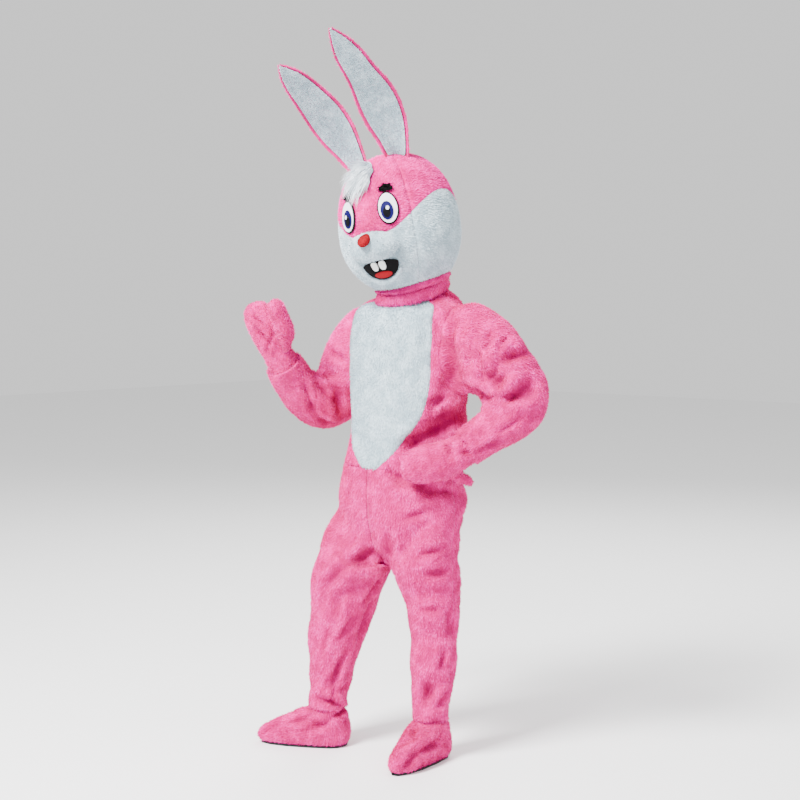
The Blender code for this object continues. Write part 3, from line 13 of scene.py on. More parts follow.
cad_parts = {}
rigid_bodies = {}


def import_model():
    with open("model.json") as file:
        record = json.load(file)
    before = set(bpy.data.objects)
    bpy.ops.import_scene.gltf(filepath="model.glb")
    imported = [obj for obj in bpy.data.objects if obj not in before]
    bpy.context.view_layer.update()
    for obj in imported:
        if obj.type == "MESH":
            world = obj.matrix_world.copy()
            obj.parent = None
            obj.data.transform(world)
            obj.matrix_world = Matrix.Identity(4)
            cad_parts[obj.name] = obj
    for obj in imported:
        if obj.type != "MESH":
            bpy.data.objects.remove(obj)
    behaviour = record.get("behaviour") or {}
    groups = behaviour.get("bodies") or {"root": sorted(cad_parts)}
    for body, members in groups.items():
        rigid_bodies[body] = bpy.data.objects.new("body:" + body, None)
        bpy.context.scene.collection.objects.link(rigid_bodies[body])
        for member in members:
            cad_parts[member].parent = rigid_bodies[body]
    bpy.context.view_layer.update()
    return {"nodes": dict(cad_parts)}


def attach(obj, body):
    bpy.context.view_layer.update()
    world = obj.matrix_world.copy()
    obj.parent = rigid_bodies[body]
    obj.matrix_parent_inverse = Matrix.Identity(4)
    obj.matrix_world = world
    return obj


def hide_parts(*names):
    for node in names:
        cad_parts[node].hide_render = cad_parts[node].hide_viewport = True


bl_info = {
    "name": "Plush Rabbit Costume",
    "version": (1, 0, 0),
    "blender": (4, 5, 0),
    "location": "View3D > Sidebar > Costume",
    "description": "Dresses the solids of a plush rabbit costume in cloth, pile and trim",
    "category": "Object",
}

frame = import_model()

# Heights in the tables are above the floor, which is this far below the frame's origin.
HELD_HEIGHT = 1.30
# The tables of limbs and creases are in millimetres.
MILLIMETRES = 1000.0

# The line that each limb's cloth goes round, from its top to its end.
LIMBS = {
    "body": ((26, 24, 1430), (22, 18, 1250), (22, 16, 1060), (9, 6, 870)),
    "left_leg": (
        (95, -2, 900), (104, -8, 700), (116, -12, 560), (130, 0, 450), (129, 4, 290), (123, -4, 110),
    ),
    "right_leg": (
        (-80, -2, 900), (-100, -30, 700), (-122, -72, 560), (-160, -78, 450), (-194, -90, 290),
        (-210, -100, 110),
    ),
    "left_sleeve": (
        (160, 18, 1240), (248, 34, 1250), (294, 48, 1228), (337, 62, 1177), (374, 78, 1131),
        (386, 80, 1082), (370, 66, 1044), (308, 4, 984), (278, -28, 954),
    ),
    "right_sleeve": (
        (-130, 18, 1240), (-211, 20, 1222), (-238, 24, 1184), (-252, 28, 1146), (-260, 24, 1106),
        (-276, -4, 1072), (-294, -36, 1062), (-317, -80, 1088), (-334, -162, 1186),
    ),
    "left_mitt": ((300, -6, 972), (254, -54, 933), (198, -103, 908), (160, -140, 900)),
    "right_mitt": ((-334, -150, 1160), (-341, -178, 1218), (-361, -213, 1294), (-374, -236, 1350)),
    "left_foot": ((123, 20, 140), (123, -10, 60), (146, -180, 45)),
    "right_foot": ((-224, -90, 140), (-210, -100, 60), (-350, -190, 45)),
    "head": ((8, -6, 1640), (8, -6, 1560)),
    "left_ear": ((70, 60, 1800), (50, 20, 1960), (20, -140, 2200)),
    "right_ear": ((-100, 40, 1780), (-130, 0, 1930), (-150, -170, 2130)),
    "left_ear_front": ((40, -260, 1820), (10, -320, 1960), (-10, -420, 2080)),
    "right_ear_front": ((-90, -260, 1790), (-130, -320, 1920), (-150, -420, 2030)),
}

# Each cloth piece: the limb it is on, its cloth, the cut's width, length and area, and the pile's length.
Panel = namedtuple("Panel", "node limb cloth width length area pile")
PANELS = tuple(Panel(*row) for row in (
    ("front_left", "body", "pink", 0.24, 0.54, 0.056, 0.0075),
    ("front_right", "body", "pink", 0.24, 0.54, 0.056, 0.0075),
    ("belly", "body", "white", 0.36, 0.53, 0.156, 0.006),
    ("back_left", "body", "pink", 0.30, 0.58, 0.132, 0.0075),
    ("back_right", "body", "pink", 0.30, 0.58, 0.133, 0.0075),
    ("sleeve_left", "left_sleeve", "pink", 0.64, 0.56, 0.250, 0.0075),
    ("sleeve_right", "right_sleeve", "pink", 0.62, 0.54, 0.212, 0.0075),
    ("trouser_front_left", "left_leg", "pink", 0.32, 0.82, 0.200, 0.0075),
    ("trouser_back_left", "left_leg", "pink", 0.32, 0.82, 0.200, 0.0075),
    ("trouser_front_right", "right_leg", "pink", 0.36, 0.82, 0.216, 0.0075),
    ("trouser_back_right", "right_leg", "pink", 0.38, 0.82, 0.234, 0.0075),
    ("mitt_left", "left_mitt", "pink", 0.30, 0.25, 0.059, 0.008),
    ("mitt_right", "right_mitt", "pink", 0.30, 0.26, 0.062, 0.008),
    ("thumb_left", "left_mitt", "pink", 0.13, 0.10, 0.009, 0.008),
    ("thumb_right", "right_mitt", "pink", 0.18, 0.16, 0.023, 0.008),
    ("foot_left", "left_foot", "pink", 0.34, 0.34, 0.082, 0.008),
    ("foot_right", "right_foot", "pink", 0.34, 0.34, 0.083, 0.008),
    ("neck_band_lower", "body", "pink", 0.73, 0.045, 0.028, 0.007),
    ("neck_band_upper", "body", "pink", 0.74, 0.038, 0.025, 0.007),
    ("brow", "head", "pink", 0.28, 0.32, 0.063, 0.007),
    ("cap_left", "head", "pink", 0.34, 0.42, 0.096, 0.007),
    ("cap_right", "head", "pink", 0.34, 0.42, 0.096, 0.007),
    ("cheek_left", "head", "white", 0.32, 0.34, 0.076, 0.006),
    ("cheek_right", "head", "white", 0.32, 0.34, 0.076, 0.006),
    ("lower_face", "head", "white", 0.28, 0.28, 0.050, 0.006),
    ("ear_back_left", "left_ear_front", "pink", 0.14, 0.50, 0.047, 0.006),
    ("ear_back_right", "right_ear_front", "pink", 0.14, 0.46, 0.044, 0.006),
    ("ear_front_left", "left_ear", "white", 0.12, 0.48, 0.037, 0.004),
    ("ear_front_right", "right_ear", "white", 0.12, 0.44, 0.034, 0.004),
))
PANEL_OF = {panel.node: panel for panel in PANELS}

# Creases in each skin's cloth: where a trough starts and ends, its half width and its depth.
CREASES = {
    "suit": (
        # As the photo shows them.
        (180, -45, 1319, 199, -51, 1232, 14, 14), (227, -30, 1320, 230, -19, 1144, 23, 24),
        (262, -23, 1311, 267, -38, 1254, 11, 11), (318, -34, 1240, 329, -23, 1159, 11, 13),
        (343, 5, 1298, 339, -28, 1235, 11, 11), (210, 3, 1059, 151, -98, 1021, 11, 14),
        (213, 52, 1063, 120, -120, 956, 21, 24), (282, -57, 1008, 165, -143, 949, 14, 14),
        (199, -27, 1096, 175, -81, 1086, 11, 10), (254, -2, 1126, 330, 5, 1100, 18, 18),
        (335, -22, 1159, 386, -14, 1172, 21, 22), (379, -5, 1212, 415, 83, 1233, 18, 18),
        (393, 2, 1097, 457, 60, 1149, 18, 21), (350, -4, 1110, 403, 1, 1178, 11, 13),
        (401, 43, 1254, 366, 13, 1275, 9, 8), (379, 33, 1283, 367, -4, 1240, 9, 10),
        (385, -11, 1005, 431, 23, 1046, 11, 10), (334, -49, 947, 381, -5, 981, 10, 10),
        (437, 23, 1098, 465, 63, 1120, 10, 10), (-273, -54, 1158, -210, -49, 1154, 18, 18),
        (-270, -138, 1122, -263, -92, 1027, 11, 13), (-258, -79, 1120, -230, -63, 1067, 11, 13),
        (-225, -51, 1104, -224, -15, 1024, 18, 18), (-241, -51, 1222, -179, -50, 1192, 11, 11),
        (-264, -83, 1017, -254, -20, 994, 11, 13), (97, -138, 879, 180, -77, 839, 21, 18),
        (172, -91, 828, 209, 4, 815, 16, 13), (112, -134, 856, 67, -148, 884, 11, 10),
        (114, -136, 745, 174, -93, 763, 11, 10), (151, -111, 633, 203, -59, 655, 11, 11),
        (174, -93, 576, 210, -29, 593, 14, 13), (138, -81, 466, 195, -48, 474, 11, 10),
        (205, -27, 466, 204, -2, 395, 14, 13), (197, -26, 344, 186, -36, 290, 11, 13),
        (167, -51, 247, 141, -57, 177, 18, 18), (189, -2, 217, 168, -32, 165, 11, 11),
        (18, -124, 638, -70, -174, 586, 21, 22), (-70, -174, 586, -159, -180, 509, 14, 14),
        (25, -123, 632, 31, -75, 578, 18, 18), (-15, -58, 549, -51, -100, 468, 11, 14),
        (-53, -70, 469, -100, -72, 339, 11, 13), (75, -145, 706, 58, -106, 610, 14, 13),
        (-20, -153, 728, -71, -141, 637, 11, 8), (-99, -141, 804, -69, -152, 784, 11, 8),
        (-107, -156, 488, -123, -161, 425, 14, 11), (-80, -117, 427, -124, -146, 348, 11, 13),
        (-116, -110, 312, -173, -153, 187, 11, 11), (-132, -129, 282, -161, -134, 154, 9, 10),
        (-154, -159, 377, -189, -167, 265, 10, 8), (-203, -161, 165, -151, -108, 138, 11, 14),
        (-165, -139, 154, -160, -71, 103, 11, 13), (-146, -114, 183, -140, -74, 208, 9, 10),
        (169, -34, 123, 183, -13, 72, 17, 18),
        # Of the same kinds, on the sides that the photo leaves out.
        (69, 143, 1369, 47, 159, 1193, 14, 13), (-44, 140, 1360, -16, 159, 1204, 14, 13),
        (121, 136, 1256, 42, 159, 1137, 21, 18), (183, 104, 1227, 71, 152, 1092, 19, 21),
        (-82, 142, 1260, 2, 161, 1148, 21, 18), (-141, 104, 1205, -35, 156, 1081, 19, 18),
        (26, 159, 1052, 161, 96, 1012, 16, 14), (6, 155, 1009, -114, 103, 986, 15, 13),
        (135, 112, 946, 25, 150, 929, 15, 14), (135, 125, 787, 198, 47, 713, 21, 18),
        (87, 107, 658, 185, 50, 604, 14, 13), (87, 80, 534, 165, 74, 560, 18, 21),
        (182, 65, 504, 98, 82, 512, 13, 14), (143, 82, 461, 88, 60, 405, 11, 13),
        (164, 64, 333, 122, 74, 265, 11, 11), (162, 43, 186, 111, 58, 203, 11, 14),
        (101, 48, 148, 151, 45, 162, 11, 14), (63, 25, 412, 60, -2, 300, 11, 11),
        (-131, 123, 772, -203, 30, 710, 21, 18), (-89, 81, 622, -187, -4, 594, 14, 13),
        (-101, 13, 524, -187, 5, 571, 18, 21), (-211, 9, 519, -115, 18, 503, 13, 14),
        (-251, -26, 461, -207, 4, 383, 11, 13), (-228, -11, 339, -191, -20, 251, 11, 11),
        (-244, -47, 192, -186, -35, 202, 11, 14), (-183, -46, 145, -236, -44, 166, 11, 14),
        (-215, -81, 690, -241, -83, 577, 11, 10), (-263, -107, 453, -259, -130, 338, 11, 10),
        (200, 97, 1232, 263, 124, 1277, 14, 14), (247, 122, 1217, 324, 149, 1205, 14, 14),
        (308, 145, 1142, 379, 158, 1175, 18, 21), (331, 145, 1111, 400, 160, 1118, 17, 18),
        (362, 154, 1061, 316, 102, 1022, 11, 13), (313, 83, 989, 265, 49, 978, 11, 11),
        (-187, 96, 1241, -216, 96, 1182, 14, 14), (-216, 97, 1168, -273, 102, 1110, 14, 14),
        (-311, 73, 1063, -238, 73, 1042, 18, 21), (-336, 20, 1023, -328, -12, 1118, 11, 13),
        (-360, -40, 1105, -336, -64, 1166, 11, 11),
    ),
    "mitt_left": (
        (246, -77, 978, 273, -92, 929, 11, 13), (296, -75, 952, 313, -58, 938, 9, 10),
    ),
    "mitt_right": (
        (-287, -173, 1181, -268, -132, 1125, 9, 10), (-366, -265, 1334, -338, -251, 1310, 7, 8),
        (-347, -226, 1224, -309, -229, 1286, 7, 8), (-361, -254, 1292, -327, -228, 1246, 10, 8),
    ),
    "foot_right": (
        (-282, -195, 76, -217, -165, 100, 10, 11), (-223, -176, 64, -165, -139, 85, 11, 11),
        (-166, -138, 97, -168, -67, 114, 10, 13), (-372, -228, 23, -316, -204, 72, 9, 8),
        (-262, -131, 117, -282, -166, 101, 10, 10),
    ),
    "foot_left": (
        (180, -197, 24, 186, -140, 59, 10, 13), (188, -133, 58, 188, -38, 66, 11, 13),
        (137, -163, 76, 143, -115, 96, 9, 8),
        (120, -72, 113, 145, -119, 95, 10, 11), (161, -104, 97, 151, -156, 79, 9, 8),
    ),
}


def linear(code):
    """An sRGB colour, written as a hex number, as the linear colour that the nodes take."""
    shares = [((code >> shift) & 255) / 255 for shift in (16, 8, 0)]
    return tuple(c / 12.92 if c <= 0.04045 else ((c + 0.055) / 1.055) ** 2.4 for c in shares) + (1.0,)


def add(tree, kind, inputs=None, **settings):
    """Adds a node with its settings, and gives its inputs values, or the nodes or sockets that feed them."""
    node = tree.nodes.new(kind)
    for name, value in settings.items():
        setattr(node, name, value)
    for key, value in (inputs or {}).items():
        if isinstance(value, bpy.types.Node):
            value = value.outputs[0]
        if isinstance(value, bpy.types.NodeSocket):
            tree.links.new(value, node.inputs[key])
        else:
            node.inputs[key].default_value = value
    return node


def reckon(tree, operation, first, second, kind="ShaderNodeMath", **settings):
    """Adds a node that works one value out of two."""
    return add(tree, kind, {0: first, 1: second}, operation=operation, **settings)


def scaled(tree, vector, factor):
    return add(tree, "ShaderNodeVectorMath", {0: vector, "Scale": factor}, operation="SCALE")


def at_floor(points):
    """Points given above the floor, in the frame."""
    return np.asarray(points, float) - np.array([0.0, 0.0, HELD_HEIGHT])


def unit(vectors):
    return vectors / np.maximum(np.linalg.norm(vectors, axis=-1, keepdims=True), 1e-9)


def limb_place(limb, points):
    """The way that a limb's line runs beside each point, and the point's arm from the line."""
    line = at_floor(np.array(LIMBS[limb]) / MILLIMETRES)
    start, step = line[:-1], np.diff(line, axis=0)
    run = np.linalg.norm(step, axis=1)
    way = step / run[:, None]
    share = np.einsum("nsk,sk->ns", points[:, None] - start[None], way) / run
    share = np.clip(share, 0.0, 1.0)
    foot = start[None] + share[..., None] * step[None]
    nearest = np.argmin(np.linalg.norm(points[:, None] - foot, axis=2), axis=1)
    return way[nearest], points - foot[np.arange(len(points)), nearest]


# Materials


def shader(name, inputs=None):
    """A new material with its principled shader, and its node tree."""
    made = bpy.data.materials.new(name)
    made.use_nodes = True
    tree = made.node_tree
    tree.nodes.clear()
    principled = add(tree, "ShaderNodeBsdfPrincipled", inputs)
    add(tree, "ShaderNodeOutputMaterial", {"Surface": principled.outputs[0]})
    return made, tree, principled


def emboss(tree, principled, strength, distance, height):
    """Gives a shader's face a fine relief."""
    bump = add(tree, "ShaderNodeBump", {"Strength": strength, "Distance": distance, "Height": height})
    tree.links.new(bump.outputs[0], principled.inputs["Normal"])


def make_plush(name, root, body, tip, sheen_tint):
    """Acrylic plush: its pile lightens from roots darkened with painted shade to its tips, takes more painted
    shade in its folds, and lies in soft patches.

    The patches are about 38 mm across and the tufts 7 mm, as coarse as they need to be to show.
    """
    made, tree, principled = shader(name, {
        "Roughness": 0.92, "Specular IOR Level": 0.12, "Sheen Weight": 0.25, "Sheen Roughness": 0.4,
        "Sheen Tint": sheen_tint})
    place = add(tree, "ShaderNodeTexCoord").outputs["Object"]
    height, lot, fold_shade = (
        add(tree, "ShaderNodeAttribute", attribute_name=name).outputs["Fac"]
        for name in ("tip", "lot", "fold_shade"))
    patches, tufts = (
        add(tree, "ShaderNodeTexNoise", {"Vector": place, "Scale": a, "Detail": b, "Roughness": c})
        for a, b, c in ((26.0, 3.0, 0.6), (150.0, 2.0, 0.7)))
    # Painted shade of the pile's depth: the colour darkens from each tuft's tip to its root, and the cloth
    # under the pile, which has no tips, takes the dark end.
    rise = add(tree, "ShaderNodeMapRange", {0: height, 1: 0.0, 2: 1.0, 3: 0.15, 4: 0.75})
    patchy, tufty = (
        add(tree, "ShaderNodeMapRange", {0: noisy, 1: 0.35, 2: 0.65, 3: -swing, 4: swing})
        for noisy, swing in ((patches, 0.26), (tufts, 0.20)))
    strand = reckon(tree, "ADD", rise, reckon(tree, "MULTIPLY", lot, 0.30))
    whole = reckon(tree, "ADD", strand, reckon(tree, "ADD", patchy, tufty))
    # Painted shade in folds: the deeper a point's crease, the nearer its colour comes to the dark roots'
    # colour.
    painted_fold_shade = reckon(tree, "MULTIPLY", fold_shade, 0.55)
    share = reckon(tree, "SUBTRACT", whole, painted_fold_shade, use_clamp=True)
    ramp = add(tree, "ShaderNodeValToRGB", {0: share})
    ramp.color_ramp.elements[0].color = linear(root)
    ramp.color_ramp.elements[1].color = tip
    ramp.color_ramp.elements.new(0.5).color = linear(body)
    tree.links.new(ramp.outputs[0], principled.inputs["Base Color"])
    emboss(tree, principled, 0.5, 0.002, tufts)
    return made


def patterned(name, inputs, kind, pattern, light, dark):
    """A material whose two colours follow a pattern, with its tree, its shader and the pattern's socket."""
    made, tree, principled = shader(name, inputs)
    place = add(tree, "ShaderNodeTexCoord").outputs["Object"]
    share = add(tree, kind, {"Vector": place, **pattern}).outputs["Fac"]
    colour = add(tree, "ShaderNodeMix", {0: share, 6: linear(dark), 7: linear(light)}, data_type="RGBA")
    tree.links.new(colour.outputs[2], principled.inputs["Base Color"])
    return made, tree, principled, share


def make_knit(name, light, dark):
    """The plush's backing: a warp knit, whose loops show as fine ribs on the inside."""
    made, tree, principled, ribs = patterned(
        name, {"Roughness": 0.95, "Specular IOR Level": 0.1}, "ShaderNodeTexWave",
        {"Scale": 180.0, "Distortion": 2.0, "Detail": 1.0}, light, dark)
    emboss(tree, principled, 0.4, 0.0008, ribs)
    return made


def make_felt(name, light, dark, grain, roughness):
    """Pressed felt, flock, foam or thread: a matt face with short matted fibres or fine pores."""
    made, tree, principled, fibres = patterned(
        name, {"Roughness": roughness, "Specular IOR Level": 0.12, "Sheen Weight": 0.03},
        "ShaderNodeTexNoise", {"Scale": grain, "Detail": 4.0, "Roughness": 0.7}, light, dark)
    emboss(tree, principled, 0.5, 0.0006, fibres)
    return made


def make_vinyl(name, light, dark, roughness):
    """Coated vinyl, die cut, or moulded rubber: smooth with a soft gloss, faintly clouded by wear."""
    made, tree, principled, clouds = patterned(
        name, {"Roughness": roughness, "Specular IOR Level": 0.12, "Coat Weight": 0.04},
        "ShaderNodeTexNoise", {"Scale": 60.0, "Detail": 3.0}, light, dark)
    scuffs = add(tree, "ShaderNodeMapRange", {0: clouds, 1: 0.3, 2: 0.7, 3: roughness, 4: roughness + 0.15})
    tree.links.new(scuffs.outputs[0], principled.inputs["Roughness"])
    return made


PINK_SHEEN = (1.0, 0.50, 0.90, 1.0)
WHITE_SHEEN = (0.9, 0.96, 1.0, 1.0)
MATERIALS = {}


def make_materials(sizes):
    # Each plush's first colour is its roots' colour, darkened as painted shade of the pile's depth.
    MATERIALS.update({
        "pink": make_plush("acrylic_plush_pink", 0xC0006A, 0xE4068E, sizes.pink_tips, PINK_SHEEN),
        "white": make_plush("acrylic_plush_white", 0x98ACB6, 0xBACBD3, sizes.white_tips, WHITE_SHEEN),
        "pink_knit": make_knit("warp_knit_backing_pink", 0xE0308C, 0xB01268),
        "white_knit": make_knit("warp_knit_backing_white", 0xC8D2D8, 0xA8B4BC),
        "thread": make_felt("sewing_thread_dark_pink", 0x9A1E50, 0x6E1238, 900.0, 0.8),
        "white_shag": make_plush("acrylic_hair_white", 0xA9B6C0, 0xDCE4EA, linear(0xF6F8FB), WHITE_SHEEN),
        "black_felt": make_felt("wool_felt_black", 0x0C0A0C, 0x030203, 900.0, 0.9),
        "red_felt": make_felt("wool_felt_red", 0xA00A1C, 0x780614, 900.0, 0.85),
        "red_flock": make_felt("flocked_plastic_red", 0xA00018, 0x740010, 1200.0, 0.8),
        "white_vinyl": make_vinyl("coated_vinyl_white", 0xE9E9F0, 0xD2D4DC, 0.32),
        "blue_vinyl": make_vinyl("coated_vinyl_blue", 0x100850, 0x080430, 0.28),
        "black_vinyl": make_vinyl("coated_vinyl_black", 0x040308, 0x020204, 0.25),
        "tooth_foam": make_felt("sheet_foam_white", 0xF2F2EE, 0xDEDFDC, 700.0, 0.7),
        "sole_rubber": make_vinyl("crepe_rubber_dark", 0x2A2A2C, 0x17171A, 0.75),
    })


# Cloth

# Panels that are sewn together are smoothed as one skin and cut apart again.
Skin = namedtuple("Skin", "name nodes unevenness")
SKINS = (
    Skin("suit", (
        "front_left", "front_right", "belly", "back_left", "back_right", "sleeve_left", "sleeve_right",
        "trouser_front_left", "trouser_back_left", "trouser_front_right", "trouser_back_right"), 0.0022),
    Skin("mitt_left", ("mitt_left", "thumb_left"), 0.0015),
    Skin("mitt_right", ("mitt_right", "thumb_right"), 0.0015),
    Skin("foot_left", ("foot_left",), 0.0015),
    Skin("foot_right", ("foot_right",), 0.0015),
    Skin("head", (
        "brow", "cap_left", "cap_right", "cheek_left", "cheek_right", "lower_face", "neck_band_lower",
        "neck_band_upper"), 0.0008),
)
# The share of what is missed that each round makes up, when a skin or a small piece is rounded off.
SKIN_ROUNDS = (1.0, 0.9, 0.7)
PIECE_ROUNDS = (0.8,)
SUBDIVISIONS = 2
# A solid's wall: how far its other side can be, and where the search for it starts.
WALL_REACH = 0.016
WALL_START = 1e-5
LEAST_WALL_SHARE = 0.3
MERGE = 2e-6
WELD = 0.0008
FLAT_QUAD, SQUARE_QUAD = math.radians(70), math.radians(80)
# How far in the cloth is, to leave room for its pile, how thick its backing is, and how deep its seams lie.
PILE_SINK = 0.0035
BACKING = 0.0025
SEAM_SINK = 0.0012
SEAM_PILE = 0.75
# Where two of these meet, the seam shows as a deeper line.
SHOWN_SEAMS = (
    ("trouser_front_left", "trouser_front_right"),
    ("brow", "cap_left"),
    ("brow", "cap_right"),
    ("neck_band_lower", "neck_band_upper"),
    ("cheek_left", "neck_band_upper"),
    ("cheek_right", "neck_band_upper"),
    ("lower_face", "neck_band_upper"),
)
SHOWN_SEAM_SINK = 0.0045
STITCH_LIFT = 0.0042
# These are so narrow that their folds are evened out, this many times over.
EVENED = ("neck_band_lower", "neck_band_upper")
EVENING_ROUNDS = 6
# How far a crease reaches, how squarely the cloth has to face its way to be creased, how deep it is where
# its painted shade is at its darkest, and how it thins to its ends.
CREASE_REACH = 0.05
CREASE_FACING = 0.1
FOLD_SHADE_DEPTH = 0.016
THINNING = 0.7
# A crease wanders by a share of its width, at this scale, and has a raised rim, placed in half widths.
WANDER, WANDER_SCALE = 0.7, 16.0
RIM_HEIGHT, RIM_PLACE, RIM_WIDTH = 0.5, 1.9, 0.8
UNEVEN_SCALE = 14.0
# Where the nap of the head starts from, and how much it falls.
NAP_START = (0.035, -0.210, 1.560)
NAP_FALL = -0.5


def third_corner(face, edge):
    """The corner of a triangle that isn't on one of its edges."""
    return next(corner for corner in face.verts if corner not in edge.verts)


def walked_wall(made, first, second):
    """A wall's triangles by the ones behind them, found by walking both of its sides together.

    Both sides are the same net, so the walk ends at the rims, where one net's next corner is the other net's.
    """
    partner = {}
    for corner in first.verts:
        partner[corner] = min(second.verts, key=lambda other: (other.co - corner.co).length)
    if len(set(partner.values())) < 3:
        return {}
    behind, waiting = {first: second}, [first]
    while waiting:
        face = waiting.pop()
        for edge in face.edges:
            a, b = edge.verts
            matching = None if partner[a] is partner[b] else made.edges.get((partner[a], partner[b]))
            if matching is None:
                return {}
            beyond = [other for other in edge.link_faces if other is not face]
            facing = [other for other in matching.link_faces if other is not behind[face]]
            if not beyond or not facing or beyond[0] in behind:
                continue
            c, d = third_corner(beyond[0], edge), third_corner(facing[0], matching)
            if c in (partner[a], partner[b]) or d in (a, b):
                continue
            partner[c] = d
            behind[beyond[0]] = facing[0]
            waiting.append(beyond[0])
    return behind


def sided_wall(node, limb):
    """A node's wall with each triangle marked by its side: 1 outside, -1 inside and 0 on a rim."""
    made = bmesh.new()
    made.from_mesh(frame["nodes"][node].data)
    side = made.faces.layers.int.new("side")
    bmesh.ops.remove_doubles(made, verts=made.verts, dist=MERGE)
    made.normal_update()
    made.faces.ensure_lookup_table()
    tree = BVHTree.FromBMesh(made)
    behind = {}
    for face in made.faces:
        hit = tree.ray_cast(face.calc_center_median() - face.normal * WALL_START, -face.normal, WALL_REACH)
        if hit[0] is not None:
            behind = walked_wall(made, face, made.faces[hit[2]])
            if len(behind) > LEAST_WALL_SHARE * len(made.faces):
                break
    outward = 0.0
    for face in behind:
        arm = limb_place(limb, np.array([face.calc_center_median()[:]]))[1][0]
        outward += Vector(arm).normalized().dot(face.normal) * face.calc_area()
    for face, other in behind.items():
        face[side], other[side] = (1, -1) if outward > 0 else (-1, 1)
    return made, side


def join_quads(made):
    bmesh.ops.join_triangles(
        made, faces=made.faces, angle_face_threshold=FLAT_QUAD, angle_shape_threshold=SQUARE_QUAD)
    made.verts.index_update()


def outside_faces(node, limb):
    """The outside of a node's wall as merged quads: their points, and their corners' numbers."""
    made, side = sided_wall(node, limb)
    bmesh.ops.delete(made, geom=[face for face in made.faces if face[side] != 1], context="FACES")
    join_quads(made)
    points = np.array([v.co[:] for v in made.verts])
    faces = [[v.index for v in f.verts] for f in made.faces]
    made.free()
    return points, faces


def new_object(name, mesh):
    made = bpy.data.objects.new(name, mesh)
    bpy.context.scene.collection.objects.link(made)
    return made


def evaluated(made):
    """A plain mesh of the object as its modifiers leave it."""
    deps = bpy.context.evaluated_depsgraph_get()
    return bpy.data.meshes.new_from_object(
        made.evaluated_get(deps), preserve_all_data_layers=True, depsgraph=deps)


def smooth_mesh(made, name):
    mesh = bpy.data.meshes.new(name)
    made.to_mesh(mesh)
    made.free()
    mesh.polygons.foreach_set("use_smooth", [True] * len(mesh.polygons))
    return mesh


def read_vectors(items, field):
    values = np.empty(len(items) * 3)
    items.foreach_get(field, values)
    return values.reshape(-1, 3)


def read_points(mesh):
    return read_vectors(mesh.vertices, "co")


def read_normals(mesh):
    return read_vectors(mesh.vertex_normals, "vector")


def rounded_off(mesh, shares):
    """A mesh subdivided smooth, with its control points moved so that it meets the mesh's own points."""
    holder = new_object(mesh.name, mesh)
    rounding = holder.modifiers.new("rounding", "SUBSURF")
    rounding.levels = rounding.render_levels = SUBDIVISIONS
    wanted = read_points(mesh)
    control = wanted.copy()
    for share in shares:
        round_mesh = evaluated(holder)
        control += share * (wanted - read_points(round_mesh)[:len(wanted)])
        bpy.data.meshes.remove(round_mesh)
        mesh.vertices.foreach_set("co", control.ravel())
        mesh.update()
    smooth = evaluated(holder)
    bpy.data.objects.remove(holder)
    return smooth


def evened(mesh, numbers):
    """A skin with some panels' points drawn to their neighbours, but not those on a rim or another panel."""
    made = bmesh.new()
    made.from_mesh(mesh)
    panel_of = made.faces.layers.int["panel"]
    free = [
        corner for corner in made.verts
        if not corner.is_boundary and all(face[panel_of] in numbers for face in corner.link_faces)
    ]
    for _ in range(EVENING_ROUNDS if free else 0):
        bmesh.ops.smooth_vert(
            made, verts=free, factor=0.5, use_axis_x=True, use_axis_y=True, use_axis_z=True)
    made.to_mesh(mesh)
    made.free()
    return mesh


def joined_skin(skin):
    """The outsides of a skin's panels, welded at their seams and rounded off through the solids' points."""
    made = bmesh.new()
    panel_of = made.faces.layers.int.new("panel")
    for number, node in enumerate(skin.nodes):
        points, faces = outside_faces(node, PANEL_OF[node].limb)
        corners = {}
        for face in faces:
            for i in face:
                if i not in corners:
                    corners[i] = made.verts.new(points[i])
            made.faces.new([corners[i] for i in face])[panel_of] = number
    bmesh.ops.remove_doubles(made, verts=made.verts, dist=WELD)
    numbers = {skin.nodes.index(name) for name in EVENED if name in skin.nodes}
    return evened(rounded_off(smooth_mesh(made, skin.name), SKIN_ROUNDS), numbers)


def creased(points, normals, creases):
    """How far each point moves out along its normal for a table of creases."""
    out = np.zeros(len(points))
    for *ends, width, depth in np.array(creases) / MILLIMETRES:
        start, end = at_floor(np.reshape(ends, (2, 3)))
        step = end - start
        share = np.clip((points - start) @ step / (step @ step), 0.0, 1.0)
        apart = points - start - share[:, None] * step
        height = np.sum(apart * normals, axis=1)
        facing = normals[np.argmin(np.linalg.norm(points - (start + end) / 2, axis=1))]
        near = (np.abs(height) < CREASE_REACH) & (normals @ facing > CREASE_FACING)
        near &= np.linalg.norm(apart, axis=1) < CREASE_REACH + 4 * width
        if not near.any():
            continue
        level = np.linalg.norm(apart[near] - height[near, None] * normals[near], axis=1)
        drift = np.array([noise.noise(Vector(p) * WANDER_SCALE) for p in points[near]])
        level = np.abs(level + drift * width * WANDER) / width
        taper = 1.0 - np.abs(2.0 * share[near] - 1.0) ** 3 * THINNING
        rim = RIM_HEIGHT * np.exp(-((level - RIM_PLACE) / RIM_WIDTH) ** 2)
        out[near] += depth * taper * (rim - np.exp(-level ** 2))
    return out


